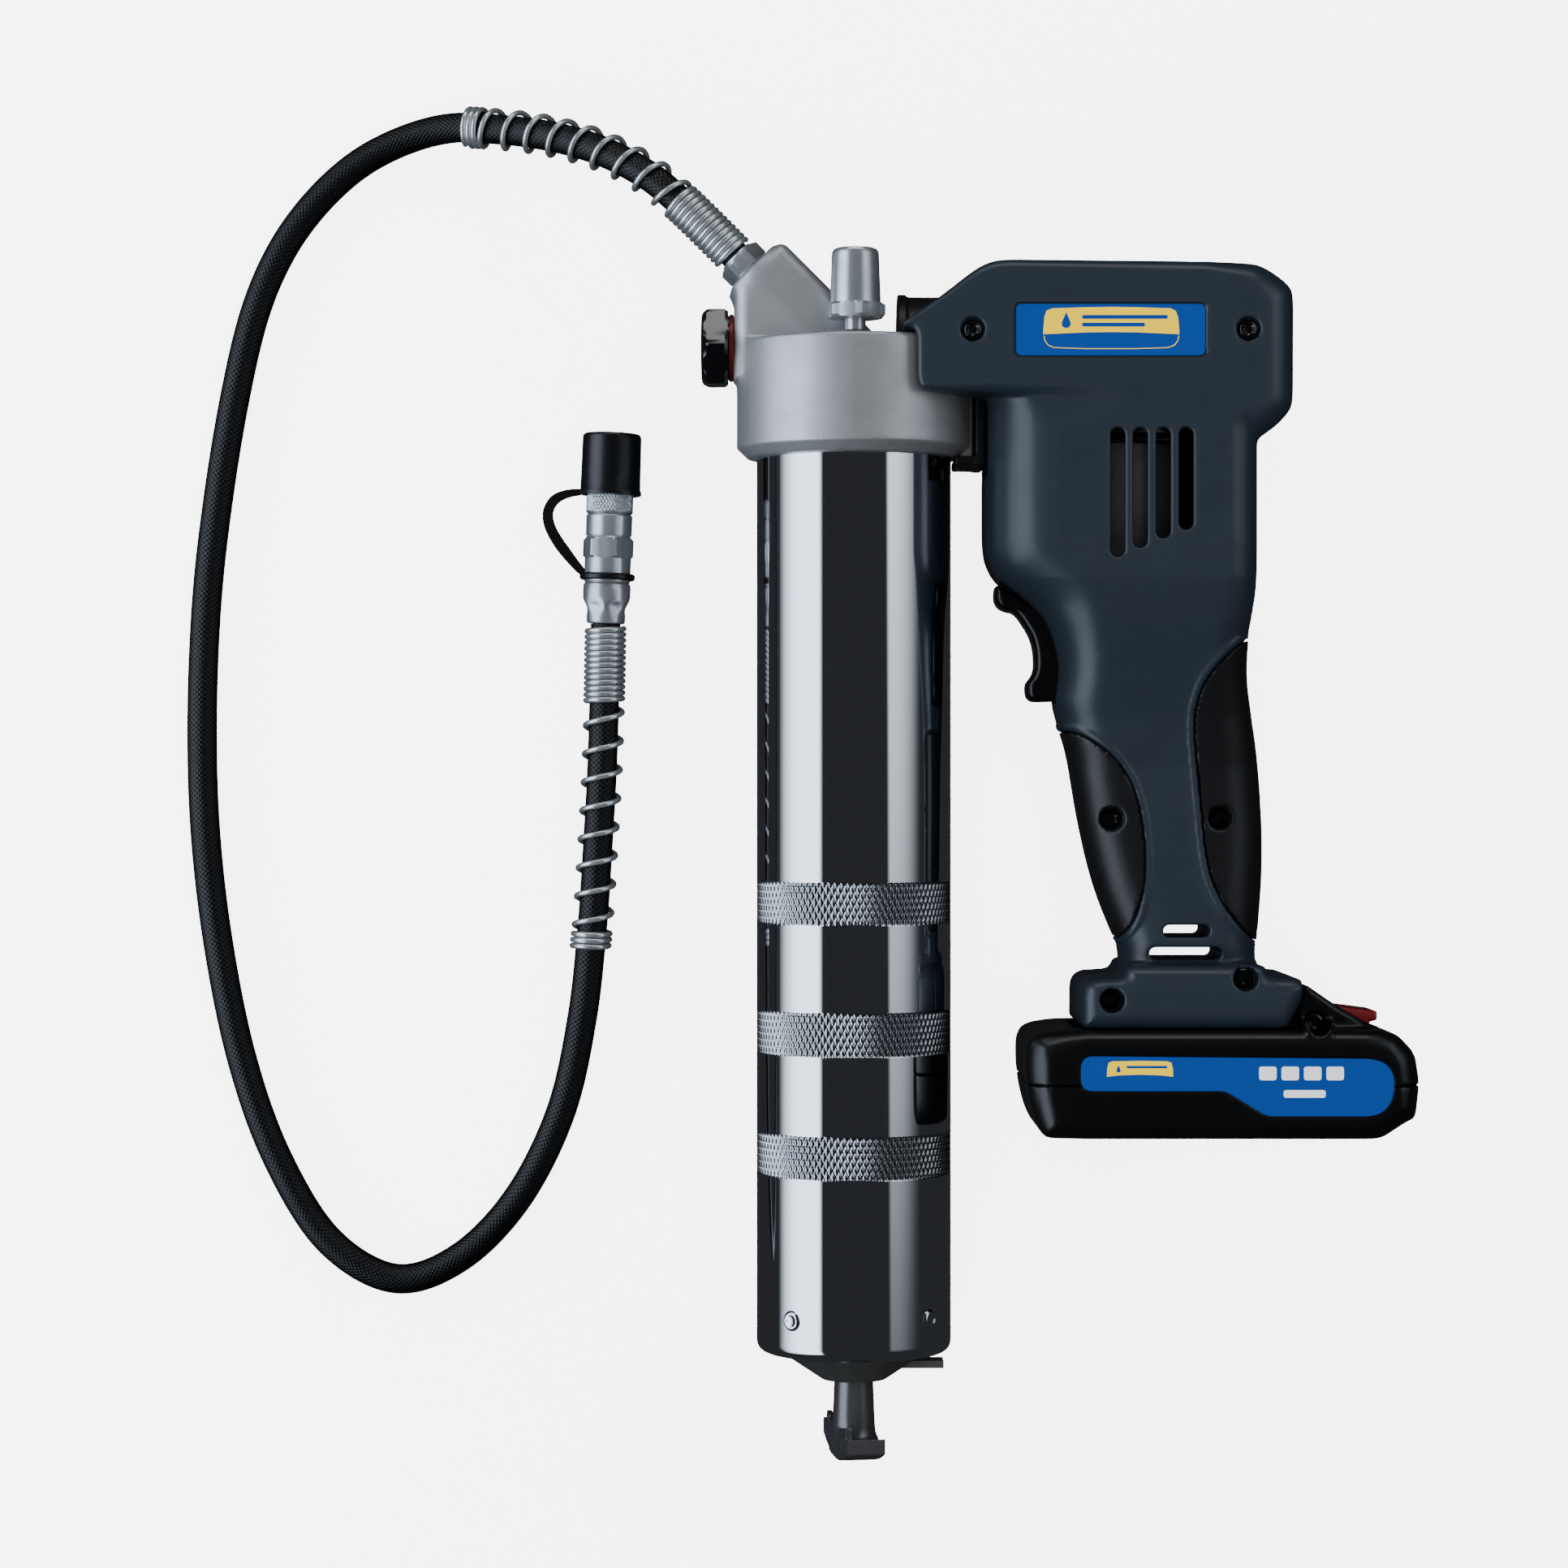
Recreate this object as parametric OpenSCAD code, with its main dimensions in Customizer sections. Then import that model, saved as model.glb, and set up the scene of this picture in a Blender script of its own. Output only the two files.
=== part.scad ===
// Cordless grease gun, lying on its side as it is set down on a bench.
// X runs from the barrel to the battery, Y along the barrel towards the head, Z up.
// Modules draw in the barrel's own coordinates: the barrel axis is x = 0, z = 0 and
// y = 0 lies just above the head's lower rim. place() moves them to the row frame.

/* [Barrel] */
// Outer radius of the grease tube
barrel_r = 28.5; // [27.5:0.5:29.5]
// Wall of the grease tube
barrel_wall = 1.2; // [1:0.1:1.5]
// Distance from y = 0 to the bottom of the tube
barrel_drop = 263.5; // [255:0.5:263.5]
// Radius of the follower rod
rod_r = 4.6; // [4:0.1:4.8]

/* [Head] */
// Outer radius of the cast ring, which is also half the thickness of the gun
ring_r = 34.5; // [34.5]
// Height of the cast ring's top
ring_h = 32.4; // [32:0.1:33.2]
// Height of the plunger's axis
plunger_y = 31; // [30.5:0.1:31.5]
// Half the thickness of the outlet block
block_half = 12; // [11.5:0.5:12.5]

/* [Drive] */
// Where the motor's axis stands, away from the barrel's axis
motor_x = 77; // [76:0.5:78]
// Radius of the motor can
motor_r = 19; // [17:0.5:19]
// Crank radius, which is half the plunger's stroke
crank_e = 6; // [4:0.5:6]
// Teeth of the motor pinion
sun_teeth = 12; // [12]
// Teeth of each planet gear
planet_teeth = 18; // [18]
// Gear module
gear_m = 1; // [1]

/* [Housing] */
// Wall of the plastic shells
shell_wall = 2.5; // [2:0.5:3]
// Half the thickness of the hand grip
grip_half = 18; // [17:0.5:19]
// Half the thickness of the foot that carries the battery
foot_half = 31; // [30:0.5:31]

/* [Battery] */
// Length of one battery cell
cell_len = 65; // [65]
// Radius of one battery cell
cell_r = 9; // [8.8:0.1:9.1]

/* [Hose] */
// Outer radius of the hose
hose_r = 4.6; // [4.4:0.1:4.6]
// Outer radius of the spring guards
guard_r = 6.9; // [6.7:0.1:6.9]
// Outer radius of the dust cap
cap_r = 9; // [8.8:0.1:9]

/* [Hidden] */
$fn = 72;
half_w = ring_r;
mid_x = 58.6;
mid_y = -117.2;
gap = 0.05;
rim_y = -1.6;
running = 0.05;

ring_teeth = sun_teeth + 2 * planet_teeth;
centre_d = gear_m * (sun_teeth + planet_teeth) / 2;
planet_n = 3;
carrier_y = 16.6;
yoke_y = [26, 36];
roller_r = 5;

outlet = [-29.5, 52.9, 0];
outlet_dir = [-sqrt(0.5), sqrt(0.5), 0];

// Front outline of the gear block and motor bay
bay_outline = [
    [12, 33.8], [17.5, 33.8], [17.5, 17.6], [19.6, 15.3], [38.2, 14.8],
    [38.2, -28], [39.4, -33], [42.1, -37.6], [48.5, -42.5], [55.6, -48.7], [58.5, -56],
    [113.6, -56], [114.8, -48], [115.6, -40], [115.6, 2.5], [117.3, 3.3], [120.9, 5.7],
    [124, 8.9], [125.8, 12], [125.9, 43], [124.9, 45.8], [121.7, 48.6], [116.8, 51.8],
    [112, 52.4], [42.2, 53], [38.2, 52.2], [34.2, 50.2], [25, 43]
];
// Front outline of the hand grip
grip_outline = [
    [50, -43.8], [55.6, -48.7], [58.5, -56.6], [59.5, -62.6], [59.2, -68.5],
    [58.3, -72.8], [59.9, -79.3], [61.8, -84], [63.5, -91.2], [65.7, -105.5],
    [68.8, -119.8], [71.6, -129.4], [75.4, -138.9], [77.8, -144], [78.3, -152],
    [117.4, -152], [117.2, -143.7], [117.9, -138.9], [119, -125], [119.1, -110.3],
    [118.2, -96], [117, -86.4], [115.3, -76.9], [113.6, -67.3], [113.4, -60],
    [113.7, -54], [114.8, -47], [115.6, -40], [50, -40]
];
// Front outline of the foot
foot_outline = [
    [65.1, -167.4], [65.1, -158], [67, -154.8], [70.5, -153.3], [74.5, -152.6],
    [78.3, -149], [117.4, -149], [118.8, -151], [121.3, -152.6], [126, -153.1],
    [128.9, -154.9], [129.4, -156.2], [124, -167.4]
];
// Edge of the soft grip at the finger side, and at the palm side
finger_edge = [
    [55, -81.6], [61.8, -81.8], [65.9, -83], [71.9, -86.7], [76.4, -90.9], [80.1, -96.9],
    [82.3, -103.6], [83.5, -111.1], [84.2, -120.2], [83.5, -127.6], [81.6, -135.1],
    [79.4, -138.9], [76, -143], [55, -143]
];
palm_edge = [
    [125, -55], [113.5, -55], [107.7, -59.2], [102.6, -64.6], [99.6, -69.9],
    [98.1, -76.6], [98.1, -82.6], [99.3, -93.9], [100.4, -105.1], [101.5, -116.4],
    [103, -123.9], [106.3, -131.4], [110.9, -137.4], [117, -143.3], [125, -143.3]
];
// Front outline of the trigger
trigger_outline = [
    [41.7, -38.7], [41.2, -40.1], [41.1, -43.5], [42.4, -45.6], [44.9, -46.7],
    [46.3, -46.7], [48, -48], [51.6, -53.6], [52.8, -58], [53, -63], [52.3, -65.4],
    [50.6, -67.3], [50.3, -68.8], [50.5, -71.3], [51.3, -72.4], [52.5, -73.1],
    [62, -72.8], [63, -60], [60, -48.6], [53, -44.4], [47, -41.4]
];
// Front outline of the battery, and of the tower that holds its latch
battery_outline = [
    [54, -198.8], [51.5, -193.5], [49.8, -187], [49, -180], [49, -173], [50.5, -169.8],
    [53.5, -168.4], [60, -167.6], [126, -167.6], [139, -167.6], [150.6, -167.6],
    [155.1, -168.6], [160.6, -174.2], [161.9, -182.8], [160.8, -193], [158.3, -194],
    [150.5, -198.8]
];
tower_outline = [
    [124.4, -167.6], [129.8, -155.9], [130.6, -155.2], [139.6, -161.4], [150.6, -167.6]
];
label_outline = [
    [64.2, -176.6], [66, -174.8], [147, -175.5], [151, -176.6], [153.3, -179.6],
    [153.7, -183.5], [152.9, -187.5], [150.6, -190.7], [147, -191.9], [117.3, -191.9],
    [105.6, -184.7], [66, -184.7], [64.2, -183]
];

// Where the screws stand that hold the shells together
bay_screws = [[33.4, 32.7], [112.1, 32.8]];
// Where the end of the screw lies that goes into the drive adapter
adapter_tail = 10;
grip_screws = [[74.6, -107.2], [105.9, -107]];
foot_screws = [[73.5, -159.1], [111.8, -152.9]];
tower_screw = [132.6, -165.9];
vent_x = [74.8, 81.2, 87.8, 94.3];
vent_top = 4.6;
vent_bottom = [-32.1, -29.6, -26.9, -24.4];

// The hose's route, as points that it passes, in the barrel's coordinates. The third
// number is the height above the surface that the gun lies on.
hose_route = [
    [-34.8, 58.2, 34.5], [-43.1, 66.5, 34.5], [-51.5, 74.6, 33.8], [-60.8, 82.4, 31.6],
    [-74, 90.1, 26.5], [-89, 95.6, 19.4], [-105, 99, 12], [-121, 100.2, 7.4],
    [-136, 96.5, 5.2], [-150, 88.9, 4.7], [-162.6, 77, 4.7], [-172.6, 62.6, 4.7],
    [-180.2, 44.5, 4.7], [-186, 20, 4.7], [-191, -10, 4.7], [-194.6, -42, 4.7],
    [-196, -78, 4.7], [-195, -112, 4.7], [-191, -146, 4.7], [-184, -180, 4.7],
    [-173.5, -209.5, 4.7], [-158, -234.5, 4.7], [-138, -246.2, 4.7], [-118.5, -240, 4.7],
    [-101, -222.2, 4.7], [-88, -196.5, 4.7], [-81.4, -168, 5.8], [-78.2, -140, 7.05],
    [-76.5, -115, 7.4], [-75.2, -92, 7.9], [-74.5, -70, 8.4], [-74.1, -49, 9]
];
// The share of the route, counted in its spans, that each spring guard covers
upper_guard = [0.1, 6.4];
lower_guard = [26.95, 30.93];
coupler_at = [-74.1, -49, 9 - half_w];
coupler_turn = -atan(1.75 / 50);

// ---------- helpers ----------

module place() translate([-mid_x, -mid_y, half_w]) children();

module along_y(y0, y1, r1, r2 = undef)
    translate([0, y0, 0]) rotate([-90, 0, 0])
        cylinder(h = y1 - y0, r1 = r1, r2 = is_undef(r2) ? r1 : r2);

module along_x(x0, x1, r, fn = $fn)
    translate([x0, 0, 0]) rotate([0, 90, 0]) cylinder(h = x1 - x0, r = r, $fn = fn);

// A cylinder along the outlet, from one distance to another beyond its face
module along_outlet(d0, d1, r, fn = $fn)
    translate(outlet) rotate([0, 0, 135]) rotate([0, 90, 0])
        translate([0, 0, d0]) cylinder(h = d1 - d0, r = r, $fn = fn);

// Draws in the coupler's own coordinates, with +Z along it towards its mouth
module on_coupler()
    translate(coupler_at) rotate([0, 0, coupler_turn]) rotate([-90, 0, 0]) children();

module slab(outline, z0, z1, grow = 0)
    translate([0, 0, z0]) linear_extrude(z1 - z0) offset(delta = grow) polygon(outline);

// A slab on both sides of the mid plane whose edges are rounded in steps
module rounded_slab(outline, half, edge, steps = 3)
    for (i = [0 : steps - 1]) {
        turn = 90 * i / steps;
        top = half - edge + edge * sin(90 * (i + 1) / steps);
        slab(outline, -top, top, -edge * (1 - cos(turn)));
    }

// A ring around the Y axis
module ring_y(y0, y1, r_out, r_in) difference() {
    along_y(y0, y1, r_out);
    along_y(y0 - 1, y1 + 1, r_in);
}

// ---------- swept tubes ----------

function unit(v) = v / norm(v);
function clamp(i, top) = max(0, min(top, i));
function route_point(i) = let (p = hose_route[clamp(i, len(hose_route) - 1)])
    [p[0], p[1], p[2] - half_w];
// Catmull-Rom curve through the route's points
function route_at(t) =
    let (i = min(floor(t), len(hose_route) - 2), u = t - i,
         a = route_point(i - 1), b = route_point(i), c = route_point(i + 1), d = route_point(i + 2))
    0.5 * (2 * b + (c - a) * u + (2 * a - 5 * b + 4 * c - d) * u * u
        + (3 * b - a - 3 * c + d) * u * u * u);
function route_heading(t) = unit(route_at(t + 0.02) - route_at(t - 0.02));
// Points round a ring of a tube, square to its heading
function tube_ring(c, heading, r, sides) =
    let (side = unit(cross(heading, [0, 0, 1])), up = cross(side, heading))
    [for (k = [0 : sides - 1]) c + r * (cos(360 * k / sides) * side + sin(360 * k / sides) * up)];

module route_tube(t0, t1, r, rings, sides = 10) {
    ts = [for (i = [0 : rings - 1]) t0 + (t1 - t0) * i / (rings - 1)];
    points = [for (t = ts) each tube_ring(route_at(t), route_heading(t), r, sides)];
    sides_of = [for (i = [0 : rings - 2], k = [0 : sides - 1])
        let (a = i * sides + k, b = i * sides + (k + 1) % sides)
        each [[a, b, b + sides], [a, b + sides, a + sides]]];
    first = [[for (k = [sides - 1 : -1 : 0]) k]];
    last = [[for (k = [0 : sides - 1]) (rings - 1) * sides + k]];
    polyhedron(points, concat(sides_of, first, last));
}

// A tube with a bore, along the hose's route
module route_sleeve(t0, t1, r_out, r_in, rings, sides = 12) {
    ts = [for (i = [0 : rings - 1]) t0 + (t1 - t0) * i / (rings - 1)];
    points = concat(
        [for (t = ts) each tube_ring(route_at(t), route_heading(t), r_out, sides)],
        [for (t = ts) each tube_ring(route_at(t), route_heading(t), r_in, sides)]);
    inner = rings * sides;
    walls = [for (i = [0 : rings - 2], k = [0 : sides - 1])
        let (a = i * sides + k, b = i * sides + (k + 1) % sides)
        each [[a, b, b + sides], [a, b + sides, a + sides],
            [inner + b, inner + a, inner + a + sides], [inner + b, inner + a + sides, inner + b + sides]]];
    ends = [for (e = [0, rings - 1], k = [0 : sides - 1])
        let (a = e * sides + k, b = e * sides + (k + 1) % sides)
        each e == 0 ? [[b, a, inner + a], [b, inner + a, inner + b]]
            : [[a, b, inner + b], [a, inner + b, inner + a]]];
    polyhedron(points, concat(walls, ends));
}

// A wire wound along +Z, with turns that follow a list of heights
module coil(r, wire, heights, per_turn = 12, sides = 5) {
    n = (len(heights) - 1) * per_turn;
    centres = [for (i = [0 : n])
        let (turn = i / per_turn, k = min(floor(turn), len(heights) - 2), u = turn - k)
        [r * cos(360 * turn), r * sin(360 * turn), heights[k] + (heights[k + 1] - heights[k]) * u]];
    points = [for (i = [0 : n])
        let (a = 360 * i / per_turn)
        for (s = [0 : sides - 1])
            centres[i] + wire * (cos(360 * s / sides) * [cos(a), sin(a), 0]
                + sin(360 * s / sides) * [0, 0, 1])];
    faces = concat(
        [for (i = [0 : n - 1], s = [0 : sides - 1])
            let (a = i * sides + s, b = i * sides + (s + 1) % sides)
            each [[a, b, b + sides], [a, b + sides, a + sides]]],
        [[for (s = [sides - 1 : -1 : 0]) s]],
        [[for (s = [0 : sides - 1]) n * sides + s]]);
    polyhedron(points, faces);
}

// ---------- gears ----------

pressure = 25;
function inv(a) = tan(a) * 180 / PI - a;
// Half the angle that a tooth covers at radius r
function tooth_half(teeth, r, thin) =
    let (pitch_r = gear_m * teeth / 2, base_r = pitch_r * cos(pressure),
         at = r <= base_r ? 0 : acos(base_r / r))
    90 / teeth - thin / pitch_r * 180 / PI + inv(pressure) - inv(at);
module gear_outline(teeth, tip, root, thin) {
    pitch_r = gear_m * teeth / 2;
    radii = [pitch_r - root, pitch_r, pitch_r + tip];
    polygon([for (i = [0 : teeth - 1]) each concat(
        [for (r = radii) let (a = 360 * i / teeth - tooth_half(teeth, r, thin)) r * [cos(a), sin(a)]],
        [for (k = [2 : -1 : 0]) let (r = radii[k], a = 360 * i / teeth + tooth_half(teeth, r, thin))
            r * [cos(a), sin(a)]])]);
}
// A gear whose axis stands along Y, centred on the motor's axis
module drive_gear(teeth, y0, y1, bore, turn)
    translate([motor_x, y0, 0]) rotate([-90, 0, 0]) difference() {
        linear_extrude(y1 - y0) rotate(turn) gear_outline(teeth, 0.9, 1.2, 0.14);
        translate([0, 0, -1]) cylinder(h = y1 - y0 + 2, r = bore);
    }
gear_y = [4, 15];

// ---------- barrel ----------

tube_top = 13;
module barrel_tube() color("gainsboro") difference() {
    union() {
        along_y(-barrel_drop + 3, tube_top, barrel_r);
        along_y(-barrel_drop, -barrel_drop + 3, barrel_r - 3, barrel_r);
    }
    along_y(-barrel_drop + 3, tube_top + 1, barrel_r - barrel_wall);
    along_y(-barrel_drop - 1, -barrel_drop + 4, 18.2);
}

cap_y = -barrel_drop - 8.2;
module barrel_end_cap() color("dimgray") difference() {
    union() {
        along_y(-barrel_drop + 3, -barrel_drop + 5, barrel_r - barrel_wall - gap);
        along_y(-barrel_drop - 1.5, -barrel_drop + 3, 18);
        along_y(cap_y, -barrel_drop - 0.2, 9.5, 21.5);
    }
    along_y(cap_y + 1.6, -barrel_drop - 0.5, 8.6, 16.4);
    along_y(-barrel_drop - 1, -barrel_drop + 3, 16.4);
    along_y(cap_y - 1, -barrel_drop + 6, rod_r + running);
    translate([8, -barrel_drop - 5.3, -4.6]) cube([16, 5, 9.2]);
}

// Four buttons pressed into the tube that hold the end cap
module end_cap_rivets() color("silver")
    for (turn = [50 : 90 : 320])
        rotate([0, turn, 0]) translate([0, -barrel_drop + 11.5, barrel_r - barrel_wall - 2.2])
            cylinder(h = 2, r = 2.4, $fn = 32);

module barrel_gasket() color("black") ring_y(tube_top + 0.1, tube_top + 2, barrel_r - 0.3, 24);

module follower_rod() color("slategray") along_y(cap_y + 0.2, -4, rod_r);

handle_y = -294.6;
module rod_handle() color("#26282b") difference() {
    union() {
        along_y(handle_y + 2.8, cap_y - 0.1, 6.3, 5.8);
        rotate([0, 8.8, 0]) intersection() {
            translate([-5.2, handle_y + 60, 0]) rotate([0, 90, 0]) difference() {
                cylinder(h = 10.4, r = 60, $fn = 120);
                translate([0, 0, -1]) cylinder(h = 13, r = 56.4, $fn = 120);
            }
            translate([-8, handle_y - 1, -21]) cube([16, 12, 42]);
        }
    }
    along_y(handle_y + 8, cap_y + 1, rod_r);
}

module follower_plate() color("silver") ring_y(-14.6, -12.2, 26.2, rod_r + running);

module follower_cup() color("black") difference() {
    union() {
        along_y(-12.1, -3, 27.1);
        along_y(-4, -0.5, 26, 21);
    }
    along_y(-20, -3.9, rod_r + running);
    along_y(-2.6, 0, 19, 21);
}

spring_turns = 13;
module follower_spring() color("gray")
    translate([0, -14.8 - 1.5, 0]) rotate([90, 0, 0])
        coil(23.6, 1.2, [for (i = [0 : spring_turns]) (barrel_drop - 24.5) * i / spring_turns], 16, 6);

latch_y = -barrel_drop - 2.6;
// The latch tilts on the rolled edge behind the rod
latch_roll = [-8.9, latch_y - 1.1, 1.1];
module rod_latch() color("#3a3d3c") difference() {
    union() {
        along_y(latch_y - 2.2, latch_y, 8.6);
        translate([latch_roll[0], latch_roll[1], -3]) cylinder(h = 6, r = latch_roll[2], $fn = 32);
        translate([latch_roll[0], latch_y - 2.2, -3]) cube([4, 2.2, 6]);
        translate([0, latch_y - 2.2, -4]) cube([26.3, 2.2, 8]);
    }
    along_y(latch_y - 5, latch_y + 5, rod_r + 0.5);
    translate([23.5, latch_y - 5, -1.6]) cube([4, 10, 3.2]);
}

// ---------- head ----------

casting_block = [
    [-35.2, 19.8], [-35.2, 47.2], [-22.4, 60], [-19.5, 60], [8, 35.6], [8, 24], [-20, 19.8]
];
cavity_top = 21;
// The filler nipple stands in front of the outlet block
filler_at = [0.1, 0, 21.5];
module head_casting() color("#b9bbb9") difference() {
    union() {
        along_y(rim_y + 3, ring_h, ring_r);
        along_y(rim_y, rim_y + 3, ring_r - 3, ring_r);
        slab(casting_block, -block_half, block_half);
        intersection() {
            translate([0, plunger_y, 0]) along_x(-33, 12.4, 10);
            translate([-40, 20, -12]) cube([60, 17, 24]);
        }
        translate([20, rim_y, -7]) cube([15, 17.6, 14]);
    }
    along_y(-3, 15.5, barrel_r + running);
    along_y(15, cavity_top, 23.5);
    translate([0, plunger_y, 0]) along_x(-26, 40, 4 + running);
    translate([0, plunger_y, 0]) along_x(-40, -25.5, 7 + running);
    along_outlet(-31, 1, 2);
    along_outlet(-20, 1, 4.6);
    along_outlet(-9, 1, 6);
    translate([3, 0, 0]) along_y(cavity_top - 1, plunger_y, 2.5);
    translate(filler_at) along_y(cavity_top - 1, ring_h + 1, 3.05);
    translate([bay_screws[0][0], bay_screws[0][1], adapter_tail - 1]) cylinder(h = 20, r = 2, $fn = 24);
}

module plunger_bore_plug() color("#141516") translate([0, plunger_y, 0]) {
    difference() {
        translate([-44.8, 0, 0]) rotate([0, 90, 0]) rotate(30)
            cylinder(h = 8.1, r = 12.6, $fn = 6);
        translate([-45.5, 0, 0]) along_x(0, 1.6, 8.5);
    }
    along_x(-44.5, -26.2, 7);
}

module plug_washer() color("firebrick") translate([0, plunger_y, 0]) difference() {
    along_x(-36.7, -35.25, 9.8);
    along_x(-38, -34, 7.1);
}

module filler_nipple() color("silver") translate(filler_at) difference() {
    union() {
        along_y(ring_h - 9, 37.3, 3);
        translate([0, 37.2, 0]) rotate([-90, 0, 0]) rotate(12) cylinder(h = 4.4, r = 9, $fn = 6);
        along_y(41.5, 46, 7.3, 6.9);
        along_y(46, 56, 6.9);
        along_y(56, 57.4, 6.9, 6.2);
    }
    along_y(51, 60, 4);
    along_y(ring_h - 10, 52, 1.5);
}

module plunger() color("silver") translate([0, plunger_y, 0]) along_x(-4, 49.9, 4);

module plunger_seal() color("black") translate([0, plunger_y, 0]) difference() {
    along_x(46, 48.4, 7.4);
    along_x(45, 50, 4 + running);
}

module check_ball() color("silver") translate(outlet - 17.48 * outlet_dir) sphere(r = 3.2, $fn = 32);

module check_spring() color("silver")
    translate(outlet - 14.2 * outlet_dir) rotate([0, 0, 45]) rotate([-90, 0, 0])
        coil(2.8, 0.4, [for (i = [0 : 4]) 0.45 + i * 1.1], 10, 4);

// ---------- drive ----------

module drive_adapter() color("#2d3135") difference() {
    union() {
        intersection() {
            translate([0, plunger_y, 0]) {
                along_x(12.7, 15.2, 15.8);
                along_x(15, 37, 15.3);
            }
            translate([10, ring_h + 0.1, -20]) cube([40, 30, 40]);
        }
        translate([35.2, 15.6, -15]) cube([8.6, 31, 30]);
        translate([0, plunger_y, 0]) along_x(43.7, 46, 7.4);
        translate([0, 42, 0]) along_x(11.5, 13, 1.2);
        translate([35.2, rim_y - 5, -14]) cube([2.8, 22.4, 28]);
        translate([29.2, rim_y - 5, -14]) cube([6.1, 4.8, 28]);
    }
    translate([0, plunger_y, 0]) along_x(10, 50, 4 + 0.4);
    translate([bay_screws[0][0], bay_screws[0][1], adapter_tail - 1]) cylinder(h = 10, r = 1.55, $fn = 24);
}

window_x = [motor_x - 3 * crank_e - roller_r - 0.4, motor_x + crank_e + roller_r + 0.4];
window_z = crank_e + roller_r + 0.4;
module crank_yoke() color("dimgray") difference() {
    translate([window_x[0] - 4, yoke_y[0], -window_z - 4])
        cube([window_x[1] - window_x[0] + 8, yoke_y[1] - yoke_y[0], 2 * window_z + 8]);
    translate([window_x[0], yoke_y[0] - 1, -window_z])
        cube([window_x[1] - window_x[0], yoke_y[1] - yoke_y[0] + 2, 2 * window_z]);
    translate([0, plunger_y, 0]) along_x(window_x[0] - 5, 49.9, 4);
}

module planet_carrier() color("silver") translate([motor_x, 0, 0]) {
    along_y(carrier_y, carrier_y + 4, 20);
    for (i = [0 : planet_n - 1])
        rotate([0, 90 + 360 * i / planet_n, 0]) translate([centre_d, 0, 0])
            along_y(gear_y[0] + 0.5, carrier_y + 0.1, 2);
    translate([-crank_e, 0, 0]) along_y(carrier_y + 3, yoke_y[1] + 1, 3);
}

module crank_roller() color("gray") translate([motor_x - crank_e, 0, 0])
    ring_y(yoke_y[0] + 0.5, yoke_y[1] - 0.5, roller_r, 3.02);

// Planet i stands at this angle round the motor's axis, seen along the gears' own +Z
function planet_turn(i) = 90 + 360 * i / planet_n;
module planet_gear(i)
    color("goldenrod") translate([motor_x, gear_y[0], 0]) rotate([-90, 0, 0])
        rotate(planet_turn(i)) translate([centre_d, 0, 0]) difference() {
            linear_extrude(gear_y[1] - gear_y[0]) rotate(180 / planet_teeth)
                gear_outline(planet_teeth, 0.9, 1.2, 0.14);
            translate([0, 0, -1]) cylinder(h = 20, r = 2.05);
        }

module ring_gear() color("dimgray") translate([motor_x, gear_y[0], 0]) rotate([-90, 0, 0])
    difference() {
        cylinder(h = gear_y[1] - gear_y[0], r = 28);
        translate([0, 0, -1]) linear_extrude(gear_y[1] - gear_y[0] + 2)
            rotate(180 / ring_teeth) gear_outline(ring_teeth, 1.2, 0.9, -0.14);
    }

module motor_pinion() color("goldenrod") drive_gear(sun_teeth, gear_y[0] + 0.2, gear_y[1] - 0.2, 1.6, 0);

module motor_rotor() color("brown") translate([motor_x, 0, 0]) {
    along_y(-41, gear_y[1] - 1, 1.58);
    difference() {
        along_y(-34, -8, 12);
        for (turn = [0 : 60 : 300])
            rotate([0, turn, 0]) translate([10.5, 0, 0]) along_y(-35, -7, 2);
    }
    along_y(-39.5, -35, 5);
}

module motor_can() color("gray") translate([motor_x, 0, 0]) difference() {
    union() {
        along_y(-43, 1.5, motor_r);
        along_y(1.5, 3.6, 6);
    }
    along_y(-41.5, 0, motor_r - 1.5);
    along_y(-45, 4, 1.64);
}

// ---------- housing ----------

module bay_outer() {
    rounded_slab(bay_outline, half_w, 5);
}
// The sloping neck between the deep motor bay and the slim grip
module neck_slope() hull() {
    slab([[52, -46], [56, -50], [114.6, -50], [115.4, -44]], -28, 28);
    slab([[59.5, -64], [59.5, -68], [113.4, -68], [113.4, -64]], -grip_half + 2, grip_half - 2);
}
module housing_solid() {
    bay_outer();
    neck_slope();
    rounded_slab(grip_outline, grip_half, 8, 3);
    rounded_slab(foot_outline, foot_half, 6, 3);
}
module housing_hollow() {
    slab(bay_outline, -half_w + shell_wall, half_w - shell_wall, -shell_wall);
    slab(grip_outline, -grip_half + 7, grip_half - 7, -5.4);
    slab([for (p = foot_outline) [p[0], max(p[1], -164)]],
        -foot_half + shell_wall, foot_half - shell_wall, -shell_wall);
}
// The openings for the head, the trigger, the vents and the lanyard
module housing_openings() {
    // The ring passes in between the two cheeks of the nose
    along_y(rim_y - 6, ring_h + 0.4, ring_r + 0.35);
    // The adapter and the head's lug pass in through the nose
    translate([10, rim_y - 6, -16]) cube([34, 55.6, 32]);
    // The trigger and its switch
    translate([40, -73.4, -8.4]) cube([30, 35.5, 16.8]);
    for (i = [0 : 3])
        translate([vent_x[i], 0, 0]) hull()
            for (y = [vent_top - 2, vent_bottom[i] + 2])
                translate([0, y, 0]) cylinder(h = 2 * half_w + 2, r = 2, center = true, $fn = 24);
}
module lanyard_slots() {
    for (s = [[96.1, -139.7, 13.4], [95.9, -146.2, 20.8]])
        translate([s[0] - s[2] / 2, s[1] - 1.75, -half_w]) cube([s[2], 3.5, 2 * half_w]);
}
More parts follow.
